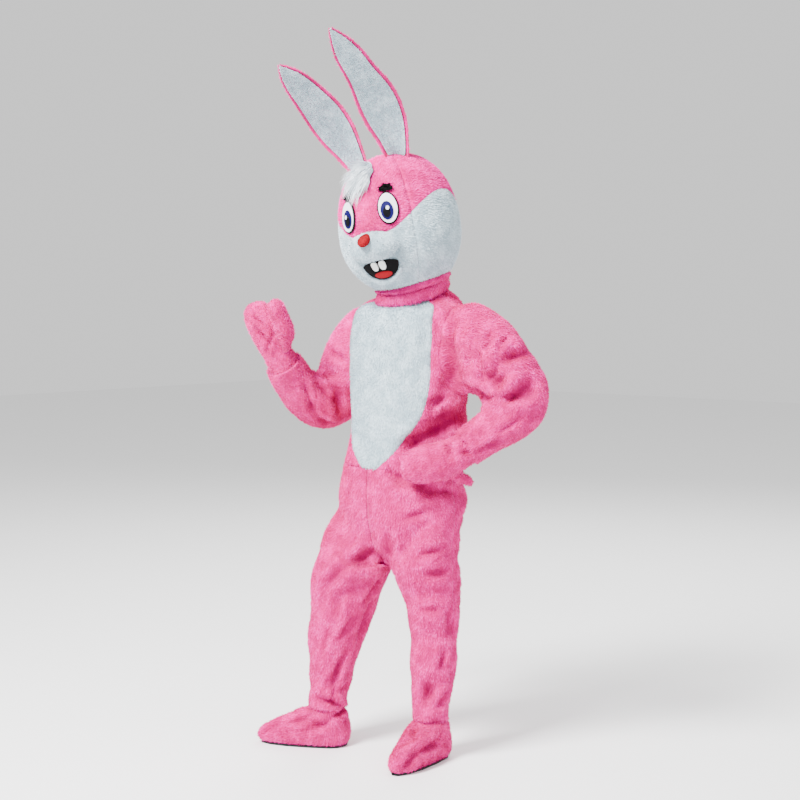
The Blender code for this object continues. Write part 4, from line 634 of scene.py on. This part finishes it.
def cut_panel(panel, number, points, normals, faces, panel_of, seams, folds, edge_uses):
    """One panel of a skin as a closed wall, with what its pile needs on its points and faces."""
    mine = [face for face, owner in zip(faces, panel_of) if owner == number]
    used = sorted({i for face in mine for i in face})
    place = {old: new for new, old in enumerate(used)}
    count = len(used)
    outer = points[used]
    inner = outer - normals[used] * BACKING
    walls = [[place[i] for i in face] for face in mine]
    grows, kinds = [True] * len(walls), [0] * len(walls)
    sides = dict.fromkeys((a, b) for face in mine for a, b in zip(face, face[1:] + face[:1]))
    walls += [[i + count for i in reversed(face)] for face in walls]
    grows += [False] * len(mine)
    kinds += [1] * len(mine)
    for a, b in sides:
        if (b, a) not in sides:
            walls.append([place[b], place[a], place[a] + count, place[b] + count])
            grows.append(edge_uses[frozenset((a, b))] == 1)
            kinds.append(2)
    mesh = bpy.data.meshes.new(f"{panel.node}_cloth")
    mesh.from_pydata(np.concatenate([outer, inner]).tolist(), [], walls)
    nap = nap_at(panel.limb, outer, normals[used])
    free = np.where(seams[used], SEAM_PILE, 1.0)
    guide_pile(mesh, np.tile(nap, (2, 1)), np.tile(free, 2), np.array(grows))
    # Each point's share of the painted shade of folds, for the plush to darken its colour by.
    add_attribute(mesh, "fold_shade", "FLOAT", "POINT", "value", np.tile(folds[used], 2))
    paint(mesh, (panel.cloth, f"{panel.cloth}_knit", panel.cloth), kinds)
    mesh.polygons.foreach_set("use_smooth", [kind != 2 for kind in kinds])
    mesh.update()
    return new_object(f"{panel.node}_cloth", mesh)


def add_attribute(mesh, name, kind, domain, field, values):
    made = mesh.attributes.new(name, kind, domain)
    made.data.foreach_set(field, values.ravel())


def guide_pile(mesh, nap, free, grows):
    """Marks a mesh with the way its pile lies, how far it is free to stand, and the faces that grow it."""
    add_attribute(mesh, "nap", "FLOAT_VECTOR", "POINT", "vector", nap)
    add_attribute(mesh, "free", "FLOAT", "POINT", "value", free)
    add_attribute(mesh, "grows", "BOOLEAN", "FACE", "value", grows)


def paint(mesh, finishes, kinds=None):
    """Gives a mesh its materials, with one for each kind of face, or the first for all of them."""
    mesh.materials.clear()
    for finish in finishes:
        mesh.materials.append(MATERIALS[finish])
    mesh.polygons.foreach_set("material_index", kinds or [0] * len(mesh.polygons))


def laid_along(ways, normals):
    """Directions turned flat on to the surface that they start from."""
    return unit(ways - np.sum(ways * normals, axis=1, keepdims=True) * normals)


def nap_at(limb, points, normals):
    """The way the pile lies: down its limb, and on the head down and back from the nose."""
    ways = limb_place(limb, points)[0]
    if limb == "head":
        ways = unit(points - at_floor(NAP_START)) + np.array([0.0, 0.0, NAP_FALL])
    return laid_along(ways, normals)


def make_skin(skin):
    """A skin's panels, creased together and then cut apart, and the lines of its shown seams."""
    smooth = joined_skin(skin)
    points, normals = read_points(smooth), read_normals(smooth)
    panel_of = np.empty(len(smooth.polygons), int)
    smooth.attributes["panel"].data.foreach_get("value", panel_of)
    faces = [list(face.vertices) for face in smooth.polygons]
    owners, uses = {}, {}
    for face, owner in zip(faces, panel_of):
        for a, b in zip(face, face[1:] + face[:1]):
            owners.setdefault(frozenset((a, b)), set()).add(int(owner))
            uses[frozenset((a, b))] = uses.get(frozenset((a, b)), 0) + 1
    shown = [
        {skin.nodes.index(name) for name in pair} for pair in SHOWN_SEAMS if set(pair) <= set(skin.nodes)]
    seams = np.zeros(len(points), bool)
    sink = np.full(len(points), PILE_SINK)
    for edge, pair in owners.items():
        if len(pair) == 2:
            depth = SHOWN_SEAM_SINK if pair in shown else SEAM_SINK
            for i in edge:
                seams[i] = True
                sink[i] = max(sink[i], PILE_SINK + depth)
    out = creased(points, normals, CREASES[skin.name]) if skin.name in CREASES else np.zeros(len(points))
    # How far each point is into the painted shade of its fold, from how deep its crease is.
    folds = np.clip(-out / FOLD_SHADE_DEPTH, 0.0, 1.0)
    rough = np.array([noise.fractal(Vector(p) * UNEVEN_SCALE, 0.8, 2.2, 3) for p in points])
    points = points + normals * (out + rough * skin.unevenness - sink)[:, None]
    moved = smooth.copy()
    moved.vertices.foreach_set("co", points.ravel())
    moved.update()
    normals = read_normals(moved)
    made = [
        cut_panel(PANEL_OF[node], number, points, normals, faces, panel_of, seams, folds, uses)
        for number, node in enumerate(skin.nodes)
    ]
    stitched = [tuple(edge) for edge, pair in owners.items() if pair in shown]
    line = bpy.data.meshes.new(f"{skin.name}_seams")
    used = sorted({i for edge in stitched for i in edge})
    place = {old: new for new, old in enumerate(used)}
    raised = points[used] + normals[used] * STITCH_LIFT
    line.from_pydata(raised.tolist(), [(place[a], place[b]) for a, b in stitched], [])
    for mesh in (smooth, moved):
        bpy.data.meshes.remove(mesh)
    return made, line


# What repeats: pile, hair and stitches

# What a tree is given: its name, the kind of its socket, and its value where none is said.
TreeInput = namedtuple("TreeInput", "name kind default")
PILE_INPUTS = tuple(TreeInput(*row) for row in (
    ("Tufts", "Float", 80000.0), ("Length", "Float", 0.009), ("Width", "Float", 0.0010),
    ("Lean", "Float", 0.8), ("Stray", "Float", 0.35), ("Bend", "Float", 30.0), ("Segments", "Int", 1),
    ("Seed", "Int", 7), ("Material", "Material", None),
))
STITCH_INPUTS = tuple(TreeInput(*row) for row in (
    ("Pitch", "Float", 0.0065), ("Length", "Float", 0.0042), ("Thickness", "Float", 0.0006),
    ("Material", "Material", None),
))


def new_tree(name, inputs):
    tree = bpy.data.node_groups.new(name, "GeometryNodeTree")
    tree.interface.new_socket("Geometry", in_out="INPUT", socket_type="NodeSocketGeometry")
    tree.interface.new_socket("Geometry", in_out="OUTPUT", socket_type="NodeSocketGeometry")
    for item in inputs:
        tree.interface.new_socket(item.name, in_out="INPUT", socket_type=f"NodeSocket{item.kind}")
    return tree


def finished_tree(tree, geometry, material):
    real = add(tree, "GeometryNodeRealizeInstances", {"Geometry": geometry})
    painted = add(tree, "GeometryNodeSetMaterial", {"Geometry": real, "Material": material})
    add(tree, "NodeGroupOutput", {0: painted})
    return tree


def grown(name, mesh, tree, inputs, **values):
    """What a tree makes of a mesh, as a plain mesh in an object of its own."""
    made = new_object(name, mesh)
    grower = made.modifiers.new(tree.name, "NODES")
    grower.node_group = tree
    for socket in tree.interface.items_tree:
        if socket.in_out == "INPUT" and socket.name != "Geometry":
            default = next(item.default for item in inputs if item.name == socket.name)
            grower[socket.identifier] = values.get(socket.name, default)
    result = evaluated(made)
    made.modifiers.clear()
    made.data = result
    result.name = name
    return made


def pile_tree():
    """Grows tapering tufts on faces marked grows, leaning the way of nap, in clumps that part a little."""
    tree = new_tree("pile", PILE_INPUTS)
    given = tree.nodes.new("NodeGroupInput").outputs
    grows, nap, free = (
        add(tree, "GeometryNodeInputNamedAttribute", {"Name": name}, data_type=kind)
        for name, kind in (("grows", "BOOLEAN"), ("nap", "FLOAT_VECTOR"), ("free", "FLOAT"))
    )
    roots = add(tree, "GeometryNodeDistributePointsOnFaces", {
        "Mesh": given["Geometry"], "Selection": grows, "Density": given["Tufts"], "Seed": given["Seed"]})
    place = add(tree, "GeometryNodeInputPosition").outputs[0]
    clump = add(tree, "ShaderNodeTexNoise", {"Vector": place, "Scale": 90.0, "Detail": 1.0})
    centred = reckon(
        tree, "SUBTRACT", clump.outputs["Color"], (0.5, 0.5, 0.5), "ShaderNodeVectorMath")
    stray = add(tree, "FunctionNodeRandomValue", {
        0: (-1.0, -1.0, -1.0), 1: (1.0, 1.0, 1.0), "Seed": given["Seed"]}, data_type="FLOAT_VECTOR")
    both = reckon(tree, "ADD", scaled(tree, centred, 2.4), stray, "ShaderNodeVectorMath")
    lying = scaled(tree, nap, given["Lean"])
    raised = reckon(tree, "ADD", roots.outputs["Normal"], lying, "ShaderNodeVectorMath")
    way = reckon(tree, "ADD", raised, scaled(tree, both, given["Stray"]), "ShaderNodeVectorMath")
    upright = add(tree, "FunctionNodeAlignRotationToVector", {"Vector": way}, axis="Z")
    turned = add(tree, "FunctionNodeAlignRotationToVector", {
        "Rotation": upright, "Vector": nap}, axis="X", pivot_axis="Z")
    tuft = add(tree, "GeometryNodeMeshCone", {
        "Vertices": 3, "Side Segments": given["Segments"], "Radius Top": 0.0,
        "Radius Bottom": given["Width"], "Depth": given["Length"]}, fill_type="NONE")
    heights = add(tree, "ShaderNodeSeparateXYZ", {0: place}).outputs["Z"]
    share = reckon(tree, "DIVIDE", heights, given["Length"])
    squared = reckon(tree, "MULTIPLY", heights, heights)
    aside = add(tree, "ShaderNodeCombineXYZ", {"X": reckon(tree, "MULTIPLY", squared, given["Bend"])})
    bent = add(tree, "GeometryNodeSetPosition", {"Geometry": tuft.outputs["Mesh"], "Offset": aside})
    tipped = add(tree, "GeometryNodeStoreNamedAttribute", {
        "Geometry": bent, "Name": "tip", "Value": share}, data_type="FLOAT", domain="POINT")
    size, lot = (
        add(tree, "FunctionNodeRandomValue", {2: low, 3: high, "Seed": given["Seed"]},
            data_type="FLOAT").outputs[1]
        for low, high in ((0.7, 1.2), (-1.0, 1.0)))
    planted = add(tree, "GeometryNodeInstanceOnPoints", {
        "Points": roots.outputs["Points"], "Instance": tipped, "Rotation": turned,
        "Scale": reckon(tree, "MULTIPLY", size, free)})
    sorted_lots = add(tree, "GeometryNodeStoreNamedAttribute", {
        "Geometry": planted, "Name": "lot", "Value": lot}, data_type="FLOAT", domain="INSTANCE")
    return finished_tree(tree, sorted_lots, given["Material"])


def stitch_tree():
    """Lays short stitches end to end along a line of edges."""
    tree = new_tree("stitches", STITCH_INPUTS)
    given = tree.nodes.new("NodeGroupInput").outputs
    line = add(tree, "GeometryNodeMeshToCurve", {"Mesh": given["Geometry"]})
    spaced = add(
        tree, "GeometryNodeResampleCurve", {"Curve": line, "Length": given["Pitch"]}, mode="LENGTH")
    along = add(tree, "GeometryNodeInputTangent")
    turned = add(tree, "FunctionNodeAlignRotationToVector", {"Vector": along}, axis="Z")
    stitch = add(tree, "GeometryNodeMeshCylinder", {
        "Vertices": 6, "Radius": given["Thickness"], "Depth": given["Length"]})
    sewn = add(tree, "GeometryNodeInstanceOnPoints", {
        "Points": spaced, "Instance": stitch.outputs["Mesh"], "Rotation": turned})
    return finished_tree(tree, sewn, given["Material"])


def grow_pile(name, cloth, seed, **values):
    """The pile on a cloth piece, as a plain mesh of its own."""
    tree = bpy.data.node_groups.get("pile") or pile_tree()
    return grown(name, cloth.data.copy(), tree, PILE_INPUTS, Seed=seed, **values)


# Ears, head fillings and face trim

EAR_SINK = 0.0018
# Each raised piece of the face: its cover, how far in that is, its pile's length and share, and its fill.
Raised = namedtuple("Raised", "node cloth slot sink pile tufts fill")
RAISED = (
    Raised("muzzle", "white", "white_plush", 0.001, 0.0050, 1.5, 0.8),
    Raised("lower_lip", "white", "white_plush", 0.0005, 0.0030, 1.5, 0.8),
    Raised("nose", "red_flock", "red_flock", 0.001, 0.0022, 3.0, 1.0),
)
# Flat and moulded pieces, with the radius that their edges are eased by.
Trim = namedtuple("Trim", "node finish edge")
TRIMS = tuple(
    Trim(f"{kind}_{side}", finish, edge)
    for side in ("left", "right")
    for kind, finish, edge in (
        ("eye_rim", "black_felt", 0.0004), ("eye_white", "white_vinyl", 0.0003),
        ("eye_iris", "blue_vinyl", 0.0002), ("eye_pupil", "black_vinyl", 0.0002),
        ("eye_glint", "white_vinyl", 0.0002), ("lash", "black_felt", 0.0004),
        ("tooth", "tooth_foam", 0.0010), ("sole", "sole_rubber", 0.0010),
    )
) + (Trim("mouth", "black_felt", 0.0004), Trim("tongue", "red_felt", 0.0008))
WHISKER_DOTS = (
    (0.090, 1.552), (0.103, 1.544), (0.099, 1.560), (0.006, 1.548), (-0.008, 1.541), (-0.006, 1.555))
# Each dot is dropped on to the muzzle from in front of it, and lies on its pile.
DOT_START = -0.4
DOT_RADIUS = 0.0016
DOT_LIFT = 0.0062
# The way the forelock's hair is combed, and how far its backing is inside.
COMBED = (-0.15, -0.5, -1.0)
FORELOCK_SINK = 0.004
FACE_CENTRE = (0.008, 0.000, 1.560)
# How squarely a face has to look away from there to grow a raised piece's pile, or the forelock's hair.
PILE_FACING, HAIR_FACING = -0.1, 0.2
# Trim is eased at edges sharper than this, and shaded smooth only on the small faces of that easing.
SHARP = math.radians(40)
EASING_AREA = 4e-6


def covered(name, mesh, limb, sink, grows, finish):
    """An object of a closed mesh that is sunk to make room for its pile, with what the pile needs."""
    points, normals = read_points(mesh), read_normals(mesh)
    points = points - normals * sink
    mesh.vertices.foreach_set("co", points.ravel())
    mesh.update()
    guide_pile(mesh, nap_at(limb, points, normals), np.ones(len(points)), grows)
    paint(mesh, (finish,))
    mesh.name = name
    return new_object(name, mesh)


def make_ear(panel):
    """One layer of an ear, rounded off, with pile on its outside and over its edge."""
    made, _ = sided_wall(panel.node, panel.limb)
    join_quads(made)
    mesh = rounded_off(smooth_mesh(made, panel.node), PIECE_ROUNDS)
    side = np.empty(len(mesh.polygons), int)
    mesh.attributes["side"].data.foreach_get("value", side)
    return covered(f"{panel.node}_cloth", mesh, panel.limb, EAR_SINK, side >= 0, panel.cloth)


def node_copy(node):
    made = bmesh.new()
    made.from_mesh(frame["nodes"][node].data)
    bmesh.ops.remove_doubles(made, verts=made.verts, dist=MERGE)
    join_quads(made)
    return smooth_mesh(made, f"{node}_copy")


def facing_out(mesh):
    """How squarely each face of a piece of the head looks away from the head's middle."""
    ways = unit(read_vectors(mesh.polygons, "center") - at_floor(FACE_CENTRE))
    return np.sum(ways * read_vectors(mesh.polygons, "normal"), axis=1)


def make_raised(raised):
    """A filled piece of the face, rounded off, with pile where it looks away from the head."""
    mesh = rounded_off(node_copy(raised.node), PIECE_ROUNDS)
    grows = facing_out(mesh) > PILE_FACING
    return covered(f"{raised.node}_padding", mesh, "head", raised.sink, grows, raised.cloth)


def make_trim(trim):
    """A flat or moulded piece with its edges eased."""
    made = new_object(f"{trim.node}_trim", node_copy(trim.node))
    easing = made.modifiers.new("easing", "BEVEL")
    easing.width, easing.segments, easing.limit_method = trim.edge, 2, "ANGLE"
    easing.angle_limit = SHARP
    mesh = evaluated(made)
    made.modifiers.clear()
    made.data = mesh
    paint(mesh, (trim.finish,))
    mesh.polygons.foreach_set("use_smooth", [face.area < EASING_AREA for face in mesh.polygons])
    return made


def make_whisker_dots(muzzle):
    """Small round knots of black thread on the muzzle."""
    mesh = muzzle.data
    tree = BVHTree.FromPolygons([v.co for v in mesh.vertices], [f.vertices for f in mesh.polygons])
    made = bmesh.new()
    for x, height in WHISKER_DOTS:
        hit = tree.ray_cast(Vector(at_floor((x, DOT_START, height))), Vector((0.0, 1.0, 0.0)))
        if hit[0] is None:
            raise RuntimeError(f"no muzzle behind the whisker dot at {x}, {height}")
        new = bmesh.ops.create_icosphere(made, subdivisions=2, radius=DOT_RADIUS)
        bmesh.ops.translate(made, verts=new["verts"], vec=hit[0] + hit[1] * DOT_LIFT)
    dots = smooth_mesh(made, "whisker_dots")
    paint(dots, ("black_felt",))
    return new_object("whisker_dots", dots)


def make_forelock(sizes):
    """The tuft on the forehead: a backing that follows the brow, with long straight hair combed down it."""
    mesh = rounded_off(node_copy("forelock"), PIECE_ROUNDS)
    grows = facing_out(mesh) > HAIR_FACING
    backing = covered("forelock_backing", mesh, "head", FORELOCK_SINK, grows, "white")
    combed = laid_along(np.array(COMBED), read_normals(backing.data))
    backing.data.attributes["nap"].data.foreach_set("vector", combed.ravel())
    hair = grow_pile(
        "forelock_hair", backing, 5, Tufts=sizes.tufts * 0.8, Length=sizes.forelock, Width=0.0011,
        Lean=2.2, Stray=0.3, Bend=3.0, Segments=4, Material=MATERIALS["white_shag"])
    return backing, hair


class CostumeSizes(bpy.types.PropertyGroup):
    """Sizes and colours of the costume's pile and hair."""

    tufts: bpy.props.FloatProperty(
        name="Tufts", description="Tufts of pile on a square metre of cloth", default=80000.0, min=0.0)
    lean: bpy.props.FloatProperty(
        name="Lean", description="How far the pile leans over", default=0.8, min=0.0)
    forelock: bpy.props.FloatProperty(
        name="Forelock", description="Length of the hair on the forehead", default=0.050, min=0.0,
        unit="LENGTH", subtype="DISTANCE")
    pink_tips: bpy.props.FloatVectorProperty(
        name="Pink Tips", description="Colour of the pink pile's tips", default=linear(0xFF44BC), size=4,
        min=0.0, max=1.0, subtype="COLOR")
    white_tips: bpy.props.FloatVectorProperty(
        name="White Tips", description="Colour of the white pile's tips", default=linear(0xD5E3E9), size=4,
        min=0.0, max=1.0, subtype="COLOR")


def ride_with(pieces):
    for made in pieces:
        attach(made, "root")


def declare_cloth(panel, cloth, sizes):
    """Grows a cloth piece's pile, with a seed that no other pile has, fixes both to the costume's body and
    hides the solid that the piece stands for.
    """
    pile = grow_pile(
        f"{panel.node}_pile", cloth, len(bpy.data.objects), Tufts=sizes.tufts, Length=panel.pile,
        Lean=sizes.lean, Material=MATERIALS[panel.cloth])
    ride_with((cloth, pile))
    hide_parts(panel.node)


class DressCloth(bpy.types.Operator):
    """Makes every cloth piece of the suit and head, each with its pile, and the stitches on their seams"""

    bl_idname = "costume.dress_cloth"
    bl_label = "Cloth and Pile"

    def execute(self, context):
        sizes = context.scene.costume_sizes
        make_materials(sizes)
        for skin in SKINS:
            cloths, seams = make_skin(skin)
            for node, cloth in zip(skin.nodes, cloths):
                declare_cloth(PANEL_OF[node], cloth, sizes)
            if len(seams.edges):
                tree = bpy.data.node_groups.get("stitches") or stitch_tree()
                stitches = grown(
                    f"{skin.name}_stitches", seams, tree, STITCH_INPUTS, Material=MATERIALS["thread"])
                ride_with([stitches])
        return {"FINISHED"}


class DressEars(bpy.types.Operator):
    """Makes the two layers of each ear, with their pile"""

    bl_idname = "costume.dress_ears"
    bl_label = "Ears"

    def execute(self, context):
        for panel in PANELS:
            if panel.node.startswith("ear_"):
                declare_cloth(panel, make_ear(panel), context.scene.costume_sizes)
        return {"FINISHED"}


class DressFace(bpy.types.Operator):
    """Makes the muzzle, lip, nose, eyes, mouth, teeth and forelock, and the soles of the feet"""

    bl_idname = "costume.dress_face"
    bl_label = "Face and Trim"

    def execute(self, context):
        sizes = context.scene.costume_sizes
        for raised in RAISED:
            padding = make_raised(raised)
            pile = grow_pile(
                f"{raised.node}_pile", padding, len(bpy.data.objects), Tufts=sizes.tufts * raised.tufts,
                Length=raised.pile, Lean=sizes.lean, Material=MATERIALS[raised.cloth])
            ride_with((padding, pile))
            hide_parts(raised.node)
            if raised.node == "muzzle":
                ride_with([make_whisker_dots(padding)])
        for trim in TRIMS:
            made = make_trim(trim)
            ride_with([made])
            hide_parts(trim.node)
        for side in ("left", "right"):
            lash = bpy.data.objects[f"lash_{side}_trim"]
            everywhere = np.ones(len(lash.data.polygons), bool)
            cloth = covered(f"lash_{side}_roots", lash.data.copy(), "head", 0.0, everywhere, "black_felt")
            hair = grow_pile(
                f"lash_{side}_hair", cloth, 11, Tufts=sizes.tufts * 3.0, Length=0.007, Width=0.0008,
                Lean=-0.9, Stray=0.3, Segments=2, Material=MATERIALS["black_felt"])
            bpy.data.objects.remove(cloth)
            ride_with([hair])
        backing, hair = make_forelock(sizes)
        ride_with((backing, hair))
        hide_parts("forelock")
        return {"FINISHED"}


# Stage

FLOOR_WIDTH = 30.0
FLOOR_DROP = 0.001
# Soft lights round the costume: azimuth and rise in degrees, distance, power in watts and width.
LIGHT_AIM = (0.0, 0.0, -0.2)
LIGHTS = (
    ("key", -5.0, 45.0, 4.5, 900.0, 1.4),
    ("fill", 100.0, 25.0, 5.0, 120.0, 3.0),
    ("back", 205.0, 40.0, 5.0, 260.0, 3.0),
)
# The photograph's angle, found from the costume's outline.
CAMERA_AZIMUTH, CAMERA_RISE, CAMERA_DISTANCE = 40.0, 3.9, 4.7
CAMERA_AIM = (0.0, 0.0, 1.08 - HELD_HEIGHT)
CAMERA_LENS, CAMERA_SENSOR = 69.6, 36.0


def stand_off(made, azimuth, rise, distance, aim):
    """Puts an object away from a point, by azimuth and rise in degrees, and turns it to the point."""
    a, e = math.radians(azimuth), math.radians(rise)
    back = Vector((math.sin(a) * math.cos(e), -math.cos(a) * math.cos(e), math.sin(e)))
    made.location = Vector(aim) + back * distance
    made.rotation_euler = (-back).to_track_quat("-Z", "Y").to_euler()


class SetStage(bpy.types.Operator):
    """Lays the floor, hangs the lights and sets up the camera"""

    bl_idname = "costume.set_stage"
    bl_label = "Stage"

    def execute(self, context):
        mesh = bpy.data.meshes.new("floor")
        half = FLOOR_WIDTH / 2
        corners = ((-half, -half), (half, -half), (half, half), (-half, half))
        mesh.from_pydata(at_floor([(x, y, -FLOOR_DROP) for x, y in corners]).tolist(), [], [(0, 1, 2, 3)])
        mesh.materials.append(
            shader("painted_floor", {"Base Color": linear(0xF4F4F4), "Roughness": 0.9})[0])
        new_object("floor", mesh)
        world = bpy.data.worlds.new("studio")
        context.scene.world = world
        world.use_nodes = True
        sky = world.node_tree.nodes["Background"].inputs
        sky["Color"].default_value, sky["Strength"].default_value = linear(0xFFFFFF), 1.0
        for name, azimuth, rise, distance, power, width in LIGHTS:
            light = bpy.data.lights.new(name, "AREA")
            light.energy, light.size = power, width
            stand_off(new_object(name, light), azimuth, rise, distance, LIGHT_AIM)
        camera = new_object("camera", bpy.data.cameras.new("camera"))
        camera.data.lens, camera.data.sensor_width = CAMERA_LENS, CAMERA_SENSOR
        stand_off(camera, CAMERA_AZIMUTH, CAMERA_RISE, CAMERA_DISTANCE, CAMERA_AIM)
        context.scene.camera = camera
        return {"FINISHED"}


class CostumePanel(bpy.types.Panel):
    """Lists the costume's sizes and what makes its pieces."""

    bl_idname = "VIEW3D_PT_costume"
    bl_label = "Plush Costume"
    bl_space_type = "VIEW_3D"
    bl_region_type = "UI"
    bl_category = "Costume"

    def draw(self, context):
        sizes = context.scene.costume_sizes
        for name in sizes.bl_rna.properties.keys():
            if name not in {"rna_type", "name"}:
                self.layout.prop(sizes, name)
        for step in STEPS:
            self.layout.operator(step.bl_idname)


STEPS = (DressCloth, DressEars, DressFace, SetStage)
CLASSES = (CostumeSizes, *STEPS, CostumePanel)


def register():
    for cls in CLASSES:
        bpy.utils.register_class(cls)
    bpy.types.Scene.costume_sizes = bpy.props.PointerProperty(type=CostumeSizes)


def unregister():
    del bpy.types.Scene.costume_sizes
    for cls in reversed(CLASSES):
        bpy.utils.unregister_class(cls)


def main():
    register()
    for step in STEPS:
        group, name = step.bl_idname.split(".")
        getattr(getattr(bpy.ops, group), name)()


if __name__ == "__main__":
    main()
